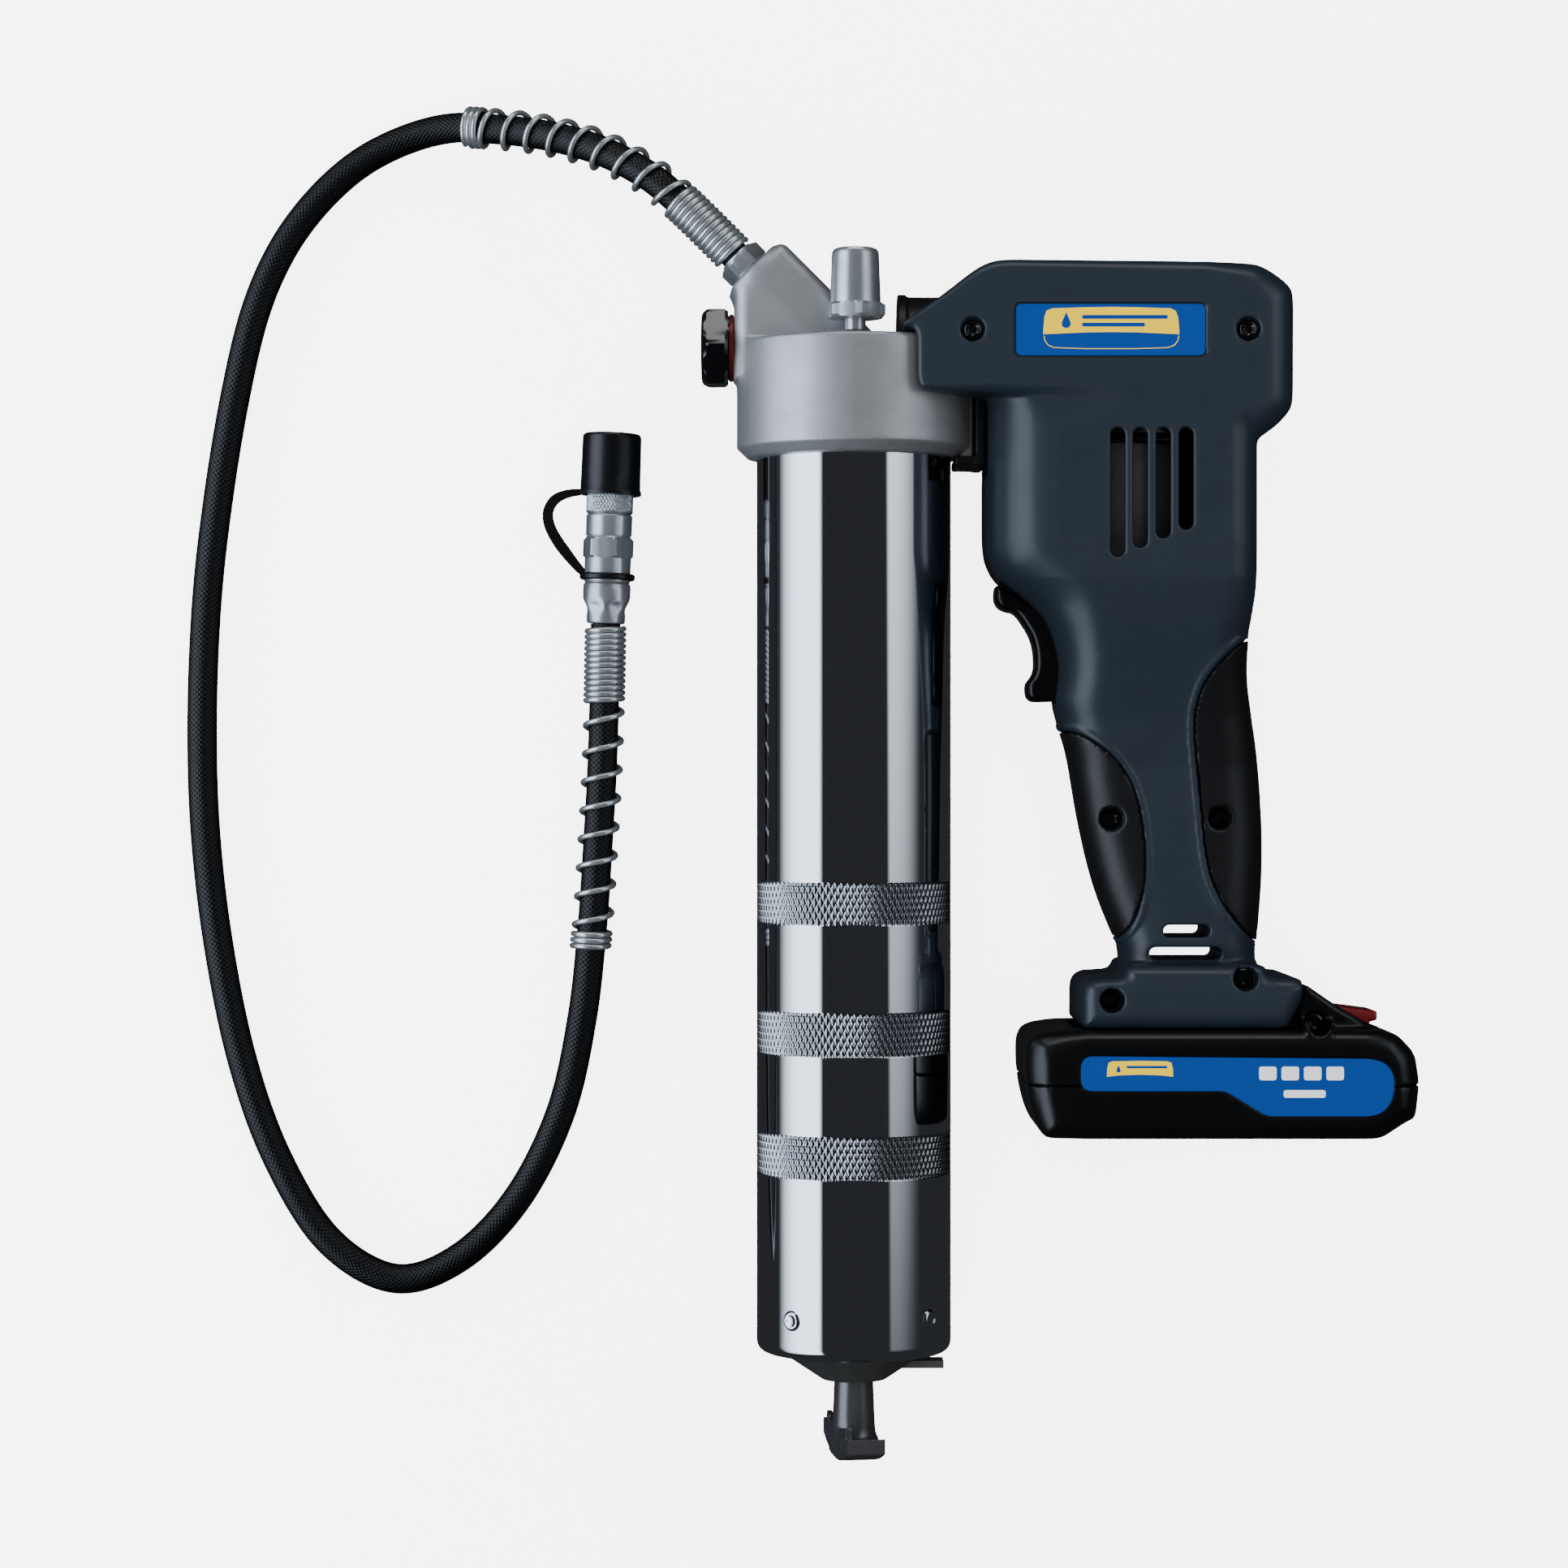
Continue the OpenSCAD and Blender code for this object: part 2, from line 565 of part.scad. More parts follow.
module screw_holes() {
    for (p = bay_screws) translate([p[0], p[1], 0]) screw_hole(half_w, 3.2, bay_tail(p));
    for (p = grip_screws) translate([p[0], p[1], 0]) screw_hole(grip_half, 3.4, -grip_half + 4);
    for (p = foot_screws) translate([p[0], p[1], 0]) screw_hole(foot_half, 3.4, -foot_half + 4);
}
function bay_tail(p) = p[0] < 50 ? adapter_tail : -half_w + 4;
module screw_hole(face, head_r, tail) {
    translate([0, 0, tail - 0.5]) cylinder(h = 3 * half_w, r = 1.6, $fn = 24);
    translate([0, 0, face - screw_sink(face)]) cylinder(h = 10, r = head_r, $fn = 32);
}
function screw_sink(face) = face > 33 ? 2.6 : 7;
module screw_posts() {
    for (p = bay_screws) screw_post(p, half_w - 2, 4.6);
    for (p = grip_screws) screw_post(p, grip_half - 3, 5);
    for (p = foot_screws) screw_post(p, foot_half - 2, 5);
}
module screw_post(p, half, r)
    translate([p[0], p[1], -half]) cylinder(h = 2 * half, r = r, $fn = 32);
// The shallow pocket of each badge: its corner, length and height
badge_box = [45.4, 24.9, 54.6, 15.3];
module badge_recess() for (side = [-1, 1])
    translate([badge_box[0], badge_box[1], side > 0 ? half_w - 0.8 : -half_w - 1])
        cube([badge_box[2], badge_box[3], 1.8]);
module soft_cut(grow) for (edge = [finger_edge, palm_edge])
    intersection() {
        difference() {
            slab(grip_outline, -grip_half - 1, grip_half + 1, 1);
            slab(grip_outline, -grip_half + 5, grip_half - 5, -3.4);
        }
        slab(edge, -grip_half - 2, grip_half + 2, grow);
    }

module shell_half(side) color("#36424b") difference() {
    intersection() {
        difference() {
            union() {
                difference() {
                    housing_solid();
                    housing_hollow();
                }
                intersection() {
                    screw_posts();
                    housing_solid();
                }
            }
            housing_openings();
            lanyard_slots();
            screw_holes();
            badge_recess();
        }
        translate([0, -200, side > 0 ? 0 : -half_w - 1]) cube([200, 300, half_w + 1]);
    }
    soft_cut(0.05);
    battery_rails_space();
    translate([86, -165, -11]) cube([17, 5, 22]);
}
// The grooves under the foot that the battery's rails run in
module battery_rails_space()
    translate([68, -168, -24.3]) cube([72, 4.2, 48.6]);

module front_shell() shell_half(1);
module rear_shell() shell_half(-1);

module pan_screw(face, tail, head_r) {
    translate([0, 0, face]) cylinder(h = 1.8, r = head_r, $fn = 32);
    translate([0, 0, tail]) cylinder(h = face - tail + 0.5, r = 1.5, $fn = 24);
}
module shell_screws() color("black") {
    for (p = bay_screws) translate([p[0], p[1], 0]) pan_screw(half_w - 2.55, bay_tail(p), 2.9);
    for (p = grip_screws) translate([p[0], p[1], 0]) pan_screw(grip_half - 6.95, -grip_half + 4, 2.9);
    for (p = foot_screws) translate([p[0], p[1], 0]) pan_screw(foot_half - 6.95, -foot_half + 4, 2.9);
}

module side_badges() color("royalblue") for (side = [-1, 1])
    translate([badge_box[0] + 0.2, badge_box[1] + 0.2, side > 0 ? half_w - 0.78 : -half_w + 0.18])
        cube([badge_box[2] - 0.4, badge_box[3] - 0.4, 0.6]);

module soft_grip(edge) color("#17191b") difference() {
    intersection() {
        difference() {
            rounded_slab(grip_outline, grip_half, 8, 3);
            slab(grip_outline, -grip_half + 4.95, grip_half - 4.95, -3.35);
        }
        slab(edge, -grip_half - 2, grip_half + 2, -0.02);
    }
    for (p = grip_screws) translate([p[0], p[1], 0])
        cylinder(h = 4 * grip_half, r = 3.45, center = true, $fn = 32);
    translate([40, -73.4, -8.4]) cube([30, 35.5, 16.8]);
    lanyard_slots();
}
module finger_grip() soft_grip(finger_edge);
module palm_grip() soft_grip(palm_edge);

module trigger() color("#101112") slab(trigger_outline, -8, 8);

module trigger_spring() color("silver") translate([63.2, -62, 0]) rotate([0, 90, 0])
    coil(2.4, 0.4, [for (i = [0 : 5]) 0.45 + i * 1.35], 10, 4);

module trigger_switch() color("#202020") difference() {
    translate([71, -76, -8]) cube([18, 26, 16]);
    translate([84, -70, -9]) cube([6, 6, 18]);
}

module terminal_block() color("black") translate([84, -161.3, -12]) difference() {
    cube([21, 7, 24]);
    for (z = [4, 11, 18]) translate([4, -1, z]) cube([12, 6, 1.6]);
}

// ---------- battery ----------

seam_y = -183.4;
module battery_shape() {
    rounded_slab(battery_outline, half_w, 4, 3);
    slab(tower_outline, -22, 22);
}
module battery_hollow() slab([[54.5, -196.6], [52, -187], [52, -172], [158, -172], [159, -186],
    [158, -192], [149, -196.6]], -half_w + 2, half_w - 2);
module battery_tray() color("#101112") difference() {
    intersection() {
        battery_shape();
        translate([40, -210, -40]) cube([140, 210 + seam_y, 80]);
    }
    battery_hollow();
    label_recess();
}
module label_recess() for (side = [-1, 1])
    slab(label_outline, side > 0 ? half_w - 0.4 : -half_w - 1, side > 0 ? half_w + 1 : -half_w + 0.4, 0.1);
module battery_lid() color("#141516") difference() {
    union() {
        intersection() {
            battery_shape();
            translate([40, seam_y, -40]) cube([140, 40, 80]);
        }
        for (side = [-1, 1])
            translate([70, -167.7, side > 0 ? 18 : -24]) cube([50, 3.6, 6]);
    }
    battery_hollow();
    label_recess();
    translate([64, -171, -17]) cube([58, 10, 34]);
    button_pocket();
    translate([tower_screw[0], tower_screw[1], 0]) cylinder(h = 60, r = 1.6, center = true, $fn = 24);
    translate([tower_screw[0], tower_screw[1], 22 - 2]) cylinder(h = 20, r = 3.2, $fn = 32);
}
module button_pocket() translate([139.4, -176, -11.2]) cube([11.4, 20, 22.4]);

module battery_cells() color("mediumseagreen")
    for (i = [0 : 4]) translate([62.6 + i * 21.2, -184.4, -cell_len / 2]) cylinder(h = cell_len, r = cell_r);

module battery_labels() color("royalblue") for (side = [-1, 1])
    slab(label_outline, side > 0 ? half_w - 0.38 : -half_w + 0.02, side > 0 ? half_w - 0.02 : -half_w + 0.38);

module battery_screws() color("black")
    translate([tower_screw[0], tower_screw[1], 0]) pan_screw(20.05, -12, 2.9);

module release_button() color("firebrick") difference() {
    slab([[139.8, -171.4], [139.8, -161.9], [150.2, -164.4], [150.2, -171.4]], -10.8, 10.8);
    translate([142, -172, -6]) cube([6, 4, 12]);
}
module release_spring() color("silver") translate([145, -175.55, 0]) rotate([-90, 0, 0])
    coil(2.2, 0.4, [for (i = [0 : 4]) 0.45 + i * 1.6], 10, 4);

// ---------- hose ----------

module hose_inlet_fitting() color("silver") difference() {
    union() {
        along_outlet(-8.8, 0, 5.95);
        along_outlet(0, 1.5, 6.9);
        translate(outlet) rotate([0, 0, 135]) rotate([0, 90, 0]) cylinder(h = 6.8, r = 7, $fn = 6);
        along_outlet(6.5, 7.4, 5.2);
    }
    along_outlet(-9, 8, 1.8);
}

module hose() color("#121212") route_tube(0, len(hose_route) - 1, hose_r, 78, 10);

module upper_spring_guard() color("silver")
    route_sleeve(upper_guard[0], upper_guard[1], guard_r, hose_r + 0.5, 20);
module lower_spring_guard() color("silver")
    route_sleeve(lower_guard[0], lower_guard[1], guard_r, hose_r + 0.5, 16);

module coupler_ferrule() color("silver") on_coupler() difference() {
    union() {
        translate([0, 0, 0.1]) cylinder(h = 4.6, r = 5.8);
        translate([0, 0, 4.6]) cylinder(h = 2.6, r1 = 5.8, r2 = 7.1);
        translate([0, 0, 7.1]) cylinder(h = 5, r = 7.1);
    }
    translate([0, 0, -1]) cylinder(h = 20, r = 1.8);
}
module coupler_body() color("silver") on_coupler() difference() {
    union() {
        translate([0, 0, 12.2]) cylinder(h = 7.6, r = 6.9);
        translate([0, 0, 19.6]) cylinder(h = 6.2, r = 7.7, $fn = 6);
        translate([0, 0, 25.7]) cylinder(h = 9.8, r = 6.9);
    }
    translate([0, 0, 11]) cylinder(h = 30, r = 1.8);
    translate([0, 0, 31]) cylinder(h = 10, r = 4.5);
}
sleeve_z = [35.6, 53];
module coupler_sleeve() color("silver") on_coupler() difference() {
    union() {
        translate([0, 0, sleeve_z[0]]) cylinder(h = 12.4, r = 7.05);
        translate([0, 0, 48]) cylinder(h = 5, r1 = 7.05, r2 = 5.8);
    }
    translate([0, 0, 30]) cylinder(h = 30, r = 4.5);
}
module coupler_jaws() color("gray") on_coupler() difference() {
    translate([0, 0, 44]) cylinder(h = 8.4, r = 4.45);
    translate([0, 0, 40]) cylinder(h = 16, r = 3.35);
}
module dust_cap() color("#101010") on_coupler() difference() {
    translate([0, 0, 38.6]) cylinder(h = 18.6, r = cap_r);
    translate([0, 0, 37]) cylinder(h = 17.8, r = 7.15);
}
// A strap from the ring on the coupler's neck to the cap's rim
strap_points = [[-6.9, 15], [-11.5, 19.4], [-15.6, 24], [-18.3, 28.6], [-19, 33], [-17.2, 36.6],
    [-13, 38.6], [-9.1, 39.6]];
module cap_strap() color("#101010") on_coupler() difference() {
    union() {
        translate([0, 0, 13.4]) cylinder(h = 1.6, r = 8.4);
        rotate([90, 0, 0]) translate([0, 0, -1.5]) linear_extrude(3) polygon(concat(
            strap_points,
            [for (i = [len(strap_points) - 1 : -1 : 0])
                strap_points[i] + [i > 5 ? 0.2 : 1.9, i > 4 ? -2 : -0.6]]));
    }
    translate([0, 0, 12]) cylinder(h = 12, r = 6.95);
}

// ---------- parts ----------

place() barrel_tube();
place() barrel_end_cap();
place() end_cap_rivets();
place() barrel_gasket();
place() follower_rod();
place() rod_handle();
place() follower_plate();
place() follower_cup();
place() follower_spring();
place() rod_latch();
place() head_casting();
place() plunger_bore_plug();
place() plug_washer();
place() filler_nipple();
place() plunger();
place() plunger_seal();
place() check_ball();
place() check_spring();
place() drive_adapter();
place() crank_yoke();
place() planet_carrier();
place() crank_roller();
place() planet_gear(0);  // planet_gear_1
place() planet_gear(1);  // planet_gear_2
place() planet_gear(2);  // planet_gear_3
place() ring_gear();
place() motor_rotor();
place() motor_pinion();
place() motor_can();
place() front_shell();
place() rear_shell();
place() shell_screws();
place() side_badges();
place() finger_grip();
place() palm_grip();
place() trigger();
place() trigger_spring();
place() trigger_switch();
place() terminal_block();
place() battery_tray();
place() battery_lid();
place() battery_cells();
place() battery_labels();
place() battery_screws();
place() release_button();
place() release_spring();
place() hose_inlet_fitting();
place() hose();
place() upper_spring_guard();
place() lower_spring_guard();
place() coupler_ferrule();
place() coupler_body();
place() coupler_sleeve();
place() coupler_jaws();
place() dust_cap();
place() cap_strap();
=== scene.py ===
# Cordless grease gun, lying on its side. All sizes are in millimetres in the barrel's own
# coordinates: x = 0, z = 0 is the barrel's axis and y = 0 lies just above the head's rim.
import math
import bpy
import numpy as np
import openvdb
from mathutils import Matrix, Vector


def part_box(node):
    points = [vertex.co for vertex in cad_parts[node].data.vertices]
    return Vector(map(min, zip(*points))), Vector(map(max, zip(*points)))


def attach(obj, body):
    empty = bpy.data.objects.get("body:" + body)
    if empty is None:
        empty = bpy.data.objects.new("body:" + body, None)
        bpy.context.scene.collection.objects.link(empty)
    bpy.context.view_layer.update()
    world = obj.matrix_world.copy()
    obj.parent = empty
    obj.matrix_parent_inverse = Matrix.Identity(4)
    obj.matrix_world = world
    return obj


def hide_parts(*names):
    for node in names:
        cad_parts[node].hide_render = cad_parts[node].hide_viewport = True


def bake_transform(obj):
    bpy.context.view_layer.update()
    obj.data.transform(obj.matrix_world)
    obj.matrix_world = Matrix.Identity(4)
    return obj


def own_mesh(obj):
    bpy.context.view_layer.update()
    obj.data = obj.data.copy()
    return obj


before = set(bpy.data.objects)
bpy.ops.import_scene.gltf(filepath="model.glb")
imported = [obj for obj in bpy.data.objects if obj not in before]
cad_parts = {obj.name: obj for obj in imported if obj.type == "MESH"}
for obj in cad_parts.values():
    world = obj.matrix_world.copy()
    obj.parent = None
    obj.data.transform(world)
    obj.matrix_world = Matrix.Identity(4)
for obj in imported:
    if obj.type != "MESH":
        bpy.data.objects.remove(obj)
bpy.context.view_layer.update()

# ---------------------------------------------------------------------------------------
# The bench, the lamps and the camera. A back-lit white sheet, a long softbox on the left, a
# weaker and softer one on the right, a strip beyond the head, and a large overhead one that
# lights but isn't mirrored, so that the chrome keeps clean bands. They fade to their edges.
AXIS = np.array([-0.0586, 0.1172, 0.0345])
FLOOR = -AXIS[2] * 1000


def row(points):
    """Barrel coordinates in millimetres to the row frame in metres."""
    return np.asarray(points, float) * 0.001 + AXIS


def softbox(name, where, aim, width, height, watts, seen, tint=(1, 1, 1), fade=((0.1, 0.1), (0.1, 0.1))):
    """An area lamp. fade gives the share of the width, then of the height, over which its
    light dies out at the low edge and at the high edge."""
    lamp = bpy.data.lights.new(name, "AREA")
    lamp.shape = "RECTANGLE"
    lamp.size, lamp.size_y = width, height
    lamp.energy, lamp.color = watts, tint
    lamp.use_nodes = True
    nodes, links = lamp.node_tree.nodes, lamp.node_tree.links
    spot = nodes.new("ShaderNodeNewGeometry")
    split = nodes.new("ShaderNodeSeparateXYZ")
    links.new(spot.outputs["Parametric"], split.inputs["Vector"])
    strength = nodes["Emission"].inputs["Strength"]
    factors = []
    for k, edges in enumerate(fade):
        for start, end in ((0, edges[0]), (1, 1 - edges[1])):
            ramp = nodes.new("ShaderNodeMapRange")
            ramp.interpolation_type = "SMOOTHSTEP"
            ramp.inputs["From Min"].default_value = start
            ramp.inputs["From Max"].default_value = end
            links.new(split.outputs[k], ramp.inputs["Value"])
            factors.append(ramp.outputs["Result"])
    product = factors[0]
    for factor in factors[1:]:
        both = nodes.new("ShaderNodeMath")
        both.operation = "MULTIPLY"
        links.new(product, both.inputs[0])
        links.new(factor, both.inputs[1])
        product = both.outputs[0]
    links.new(product, strength)
    holder = bpy.data.objects.new(name, lamp)
    bpy.context.scene.collection.objects.link(holder)
    holder.location = row(where)
    turn = (Vector(row(aim)) - holder.location).to_track_quat("-Z", "Y")
    holder.rotation_euler = turn.to_euler()
    holder.visible_glossy = seen
    return holder


softbox("overhead", (0, -80, 1900), (0, -80, 0), 2.4, 2.4, 60, False)
softbox("left_softbox", (-935, -90, 355), (0, -90, 0), 2, 1.24, 28, True, (0.74, 0.85, 1),
        ((0.1, 0.1), (0.55, 0.12)))
softbox("right_softbox", (866, 230, 500), (0, 60, 0), 1.7, 0.93, 9, True, (0.82, 0.9, 1),
        ((0.6, 0.4), (0.75, 0.12)))
softbox("far_strip", (20, 1100, 420), (20, -60, 0), 1.2, 0.3, 4, True)

world = bpy.data.worlds.new("studio")
world.use_nodes = True
world.node_tree.nodes["Background"].inputs["Color"].default_value = (0.75, 0.8, 0.9, 1)
world.node_tree.nodes["Background"].inputs["Strength"].default_value = 0.035
bpy.context.scene.world = world

bpy.ops.mesh.primitive_plane_add(size=6, location=row((0, -100, FLOOR)))
bench = bpy.context.object
bench.name = "bench_sheet"
bench.visible_glossy = False
bench.visible_diffuse = False
paper = bpy.data.materials.new("bench_paper")
paper.use_nodes = True
paper.node_tree.nodes["Principled BSDF"].inputs["Base Color"].default_value = (0.93, 0.93, 0.93, 1)
paper.node_tree.nodes["Principled BSDF"].inputs["Roughness"].default_value = 0.9
paper.node_tree.nodes["Principled BSDF"].inputs["Emission Color"].default_value = (1, 1, 1, 1)
paper.node_tree.nodes["Principled BSDF"].inputs["Emission Strength"].default_value = 5
bench.data.materials.append(paper)

eye = bpy.data.cameras.new("camera")
eye.lens = 89.8
camera = bpy.data.objects.new("camera", eye)
bpy.context.scene.collection.objects.link(camera)
camera.location = row((-20.5, -97.1, 1150))
bpy.context.scene.camera = camera


# ---------------------------------------------------------------------------------------
# The whip hose: 9 mm rubber under a black cloth braid. It leaves the head's fitting at 45
# degrees, comes down to the bench and lies round in one loop to the coupler.
def finish(name, color, rough, metal=0.0, speckle=0.0, grain=0.0, grain_mm=0.5, depth_mm=0.02,
           streak=(1, 1, 1), rough_spread=0.06, coat=0.0):
    """A material with a mottled colour, an uneven gloss and a fine grain in the surface."""
    made = bpy.data.materials.new(name)
    made.use_nodes = True
    nodes, links = made.node_tree.nodes, made.node_tree.links
    shader = nodes["Principled BSDF"]
    place = nodes.new("ShaderNodeTexCoord")
    stretch = nodes.new("ShaderNodeMapping")
    stretch.inputs["Scale"].default_value = streak
    links.new(place.outputs["Object"], stretch.inputs["Vector"])
    cloud = nodes.new("ShaderNodeTexNoise")
    cloud.inputs["Scale"].default_value = 90
    cloud.inputs["Detail"].default_value = 4
    fine = nodes.new("ShaderNodeTexNoise")
    fine.inputs["Scale"].default_value = 1000 / grain_mm
    fine.inputs["Detail"].default_value = 3
    for noise in (cloud, fine):
        links.new(stretch.outputs["Vector"], noise.inputs["Vector"])
    blend = nodes.new("ShaderNodeMix")
    blend.data_type = "RGBA"
    blend.inputs["A"].default_value = (*color, 1)
    blend.inputs["B"].default_value = (*[c * (1 - speckle) for c in color], 1)
    spots = nodes.new("ShaderNodeMapRange")
    spots.inputs["From Min"].default_value = 0.42
    spots.inputs["From Max"].default_value = 0.72
    links.new(cloud.outputs["Fac"], spots.inputs["Value"])
    links.new(spots.outputs["Result"], blend.inputs["Factor"])
    links.new(blend.outputs["Result"], shader.inputs["Base Color"])
    gloss = nodes.new("ShaderNodeMapRange")
    gloss.inputs["To Min"].default_value = max(rough - rough_spread, 0.02)
    gloss.inputs["To Max"].default_value = min(rough + rough_spread, 1)
    links.new(cloud.outputs["Fac"], gloss.inputs["Value"])
    links.new(gloss.outputs["Result"], shader.inputs["Roughness"])
    shader.inputs["Metallic"].default_value = metal
    shader.inputs["Coat Weight"].default_value = coat
    shader.inputs["Coat Roughness"].default_value = 0.08
    if grain:
        bump = nodes.new("ShaderNodeBump")
        bump.inputs["Strength"].default_value = grain
        bump.inputs["Distance"].default_value = depth_mm * 0.001
        links.new(fine.outputs["Fac"], bump.inputs["Height"])
        links.new(bump.outputs["Normal"], shader.inputs["Normal"])
    return made


def piece(name, points, faces, body, slot, material, replaced=(), crease=38):
    """A mesh piece from points in barrel coordinates, riding on its body."""
    mesh = bpy.data.meshes.new(name)
    mesh.from_pydata(row(points).tolist(), [], [list(map(int, f)) for f in faces])
    mesh.validate()
    mesh.polygons.foreach_set("use_smooth", [True] * len(mesh.polygons))
    mesh.set_sharp_from_angle(angle=math.radians(crease))
    mesh.materials.append(material)
    made = bpy.data.objects.new(name, mesh)
    bpy.context.scene.collection.objects.link(made)
    if body:
        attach(made, body)
    if replaced:
        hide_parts(*replaced)
    return made


def grid_faces(rings, sides, first=0, closed=True):
    """Quads between neighbouring rings of points."""
    last = sides if closed else sides - 1
    return [(first + i * sides + k, first + i * sides + (k + 1) % sides,
             first + (i + 1) * sides + (k + 1) % sides, first + (i + 1) * sides + k)
            for i in range(rings - 1) for k in range(last)]


def curve_through(points, steps):
    """A Catmull-Rom curve through points, with that many steps to a span."""
    p = np.asarray(points, float)
    pad = np.vstack([p[:1], p, p[-1:]])
    out = []
    for i in range(len(p) - 1):
        a, b, c, d = pad[i:i + 4]
        for u in np.arange(steps) / steps:
            out.append(0.5 * (2 * b + (c - a) * u + (2 * a - 5 * b + 4 * c - d) * u ** 2
                              + (3 * b - a - 3 * c + d) * u ** 3))
    return np.array(out + [p[-1]])


def carried_frames(line):
    """Headings and two square directions along a line, carried along without twist."""
    heading = np.gradient(line, axis=0)
    heading /= np.linalg.norm(heading, axis=1)[:, None]
    side = np.cross(heading[0], (0, 0, 1))
    sides = []
    for h in heading:
        side = side - h * side.dot(h)
        side = side / np.linalg.norm(side)
        sides.append(side)
    sides = np.array(sides)
    return heading, sides, np.cross(sides, heading)


def swept(line, radius, sides):
    """Points and faces of a round bar along a line, with closed ends."""
    _, across, up = carried_frames(line)
    turn = np.linspace(0, 2 * math.pi, sides, endpoint=False)
    radius = np.broadcast_to(radius, len(line))[:, None, None]
    ring = np.cos(turn)[None, :, None] * across[:, None] + np.sin(turn)[None, :, None] * up[:, None]
    points = (line[:, None] + radius * ring).reshape(-1, 3)
    faces = grid_faces(len(line), sides)
    top = (len(line) - 1) * sides
    faces += [list(range(sides))[::-1], list(range(top, top + sides))]
    return points, faces


# The points that the hose passes, in millimetres, the third being its height over the bench
hose_points = [
    (-34.8, 58.2, 34.5), (-43.1, 66.5, 34.5), (-51.5, 74.6, 33.8), (-60.8, 82.4, 31.6),
    (-74, 90.1, 26.5), (-89, 95.6, 19.4), (-105, 99, 12), (-121, 100.2, 7.4),
    (-136, 96.5, 5.2), (-150, 88.9, 4.7), (-162.6, 77, 4.7), (-172.6, 62.6, 4.7),
    (-180.2, 44.5, 4.7), (-186, 20, 4.7), (-191, -10, 4.7), (-194.6, -42, 4.7),
    (-196, -78, 4.7), (-195, -112, 4.7), (-191, -146, 4.7), (-184, -180, 4.7),
    (-173.5, -209.5, 4.7), (-158, -234.5, 4.7), (-138, -246.2, 4.7), (-118.5, -240, 4.7),
    (-101, -222.2, 4.7), (-88, -196.5, 4.7), (-81.4, -168, 5.8), (-78.2, -140, 7.05),
    (-76.5, -115, 7.4), (-75.2, -92, 7.9), (-74.5, -70, 8.4), (-74.1, -49, 9)]
hose_line = curve_through([(x, y, h + FLOOR) for x, y, h in hose_points], 24)
hose_radius = 4.5
span_lengths = np.linalg.norm(np.diff(hose_line, axis=0), axis=1)
hose_run = np.concatenate([[0], np.cumsum(span_lengths)])

braid = finish("hose_braid", (0.0012, 0.0012, 0.0015), 0.34, speckle=0.3, grain=0.5, grain_mm=0.7,
               depth_mm=0.12)
nodes, links = braid.node_tree.nodes, braid.node_tree.links
place = nodes.new("ShaderNodeUVMap")
twist = [nodes.new("ShaderNodeTexWave") for _ in range(2)]
for wave, lean in zip(twist, (1, -1)):
    tilt = nodes.new("ShaderNodeMapping")
    tilt.inputs["Rotation"].default_value = (0, 0, lean * 0.7)
    links.new(place.outputs["UV"], tilt.inputs["Vector"])
    links.new(tilt.outputs["Vector"], wave.inputs["Vector"])
    wave.inputs["Scale"].default_value = 9
    wave.inputs["Distortion"].default_value = 0.4
nodes["Principled BSDF"].inputs["Specular IOR Level"].default_value = 0.38
cross = nodes.new("ShaderNodeMath")
cross.operation = "MAXIMUM"
for k, wave in enumerate(twist):
    links.new(wave.outputs["Fac"], cross.inputs[k])
weave = nodes.new("ShaderNodeBump")
weave.inputs["Strength"].default_value = 0.55
weave.inputs["Distance"].default_value = 0.00025
links.new(cross.outputs["Value"], weave.inputs["Height"])
links.new(nodes["Bump"].outputs["Normal"], weave.inputs["Normal"])
links.new(weave.outputs["Normal"], nodes["Principled BSDF"].inputs["Normal"])

hose_sides = 24
points, faces = swept(hose_line, hose_radius, hose_sides)
hose = piece("whip_hose", points, faces, "gun_body", "hose_rubber", braid, ["hose"])
lay = hose.data.uv_layers.new(name="UVMap")
lay_u = np.arange(len(points)) % hose_sides / hose_sides
lay_v = hose_run[np.minimum(np.arange(len(points)) // hose_sides, len(hose_line) - 1)] / 28
for loop in hose.data.loops:
    lay.data[loop.index].uv = (lay_u[loop.vertex_index], lay_v[loop.vertex_index])


# ---------------------------------------------------------------------------------------
# Two spring guards of 1.7 mm bright wire over the hose's ends. Each is wound close where it
# grips the fitting, open along the hose, and ends in three close turns.
def wound_guard(name, replaced, start, direction, windings):
    """A guard spring wound round the hose: windings are (turns, pitch) from start on."""
    wire = 0.85
    reach = hose_radius + 0.2 + wire
    per_turn = 26
    at, turn, along, angle = start, 0, [], []
    for turns, pitch in windings:
        for _ in range(int(turns * per_turn)):
            along.append(at)
            angle.append(turn)
            at += direction * pitch / per_turn
            turn += 2 * math.pi / per_turn
    axis = np.stack([np.interp(along, hose_run, hose_line[:, k]) for k in range(3)], 1)
    _, across, up = carried_frames(hose_line)
    angle = np.array(angle)[:, None]
    square = [np.stack([np.interp(along, hose_run, v[:, k]) for k in range(3)], 1)
              for v in (across, up)]
    line = axis + reach * (np.cos(angle) * square[0] + np.sin(angle) * square[1])
    shape = swept(line, wire, 10)
    return piece(name, *shape, "gun_body", "spring_steel", spring_wire, replaced, crease=60)


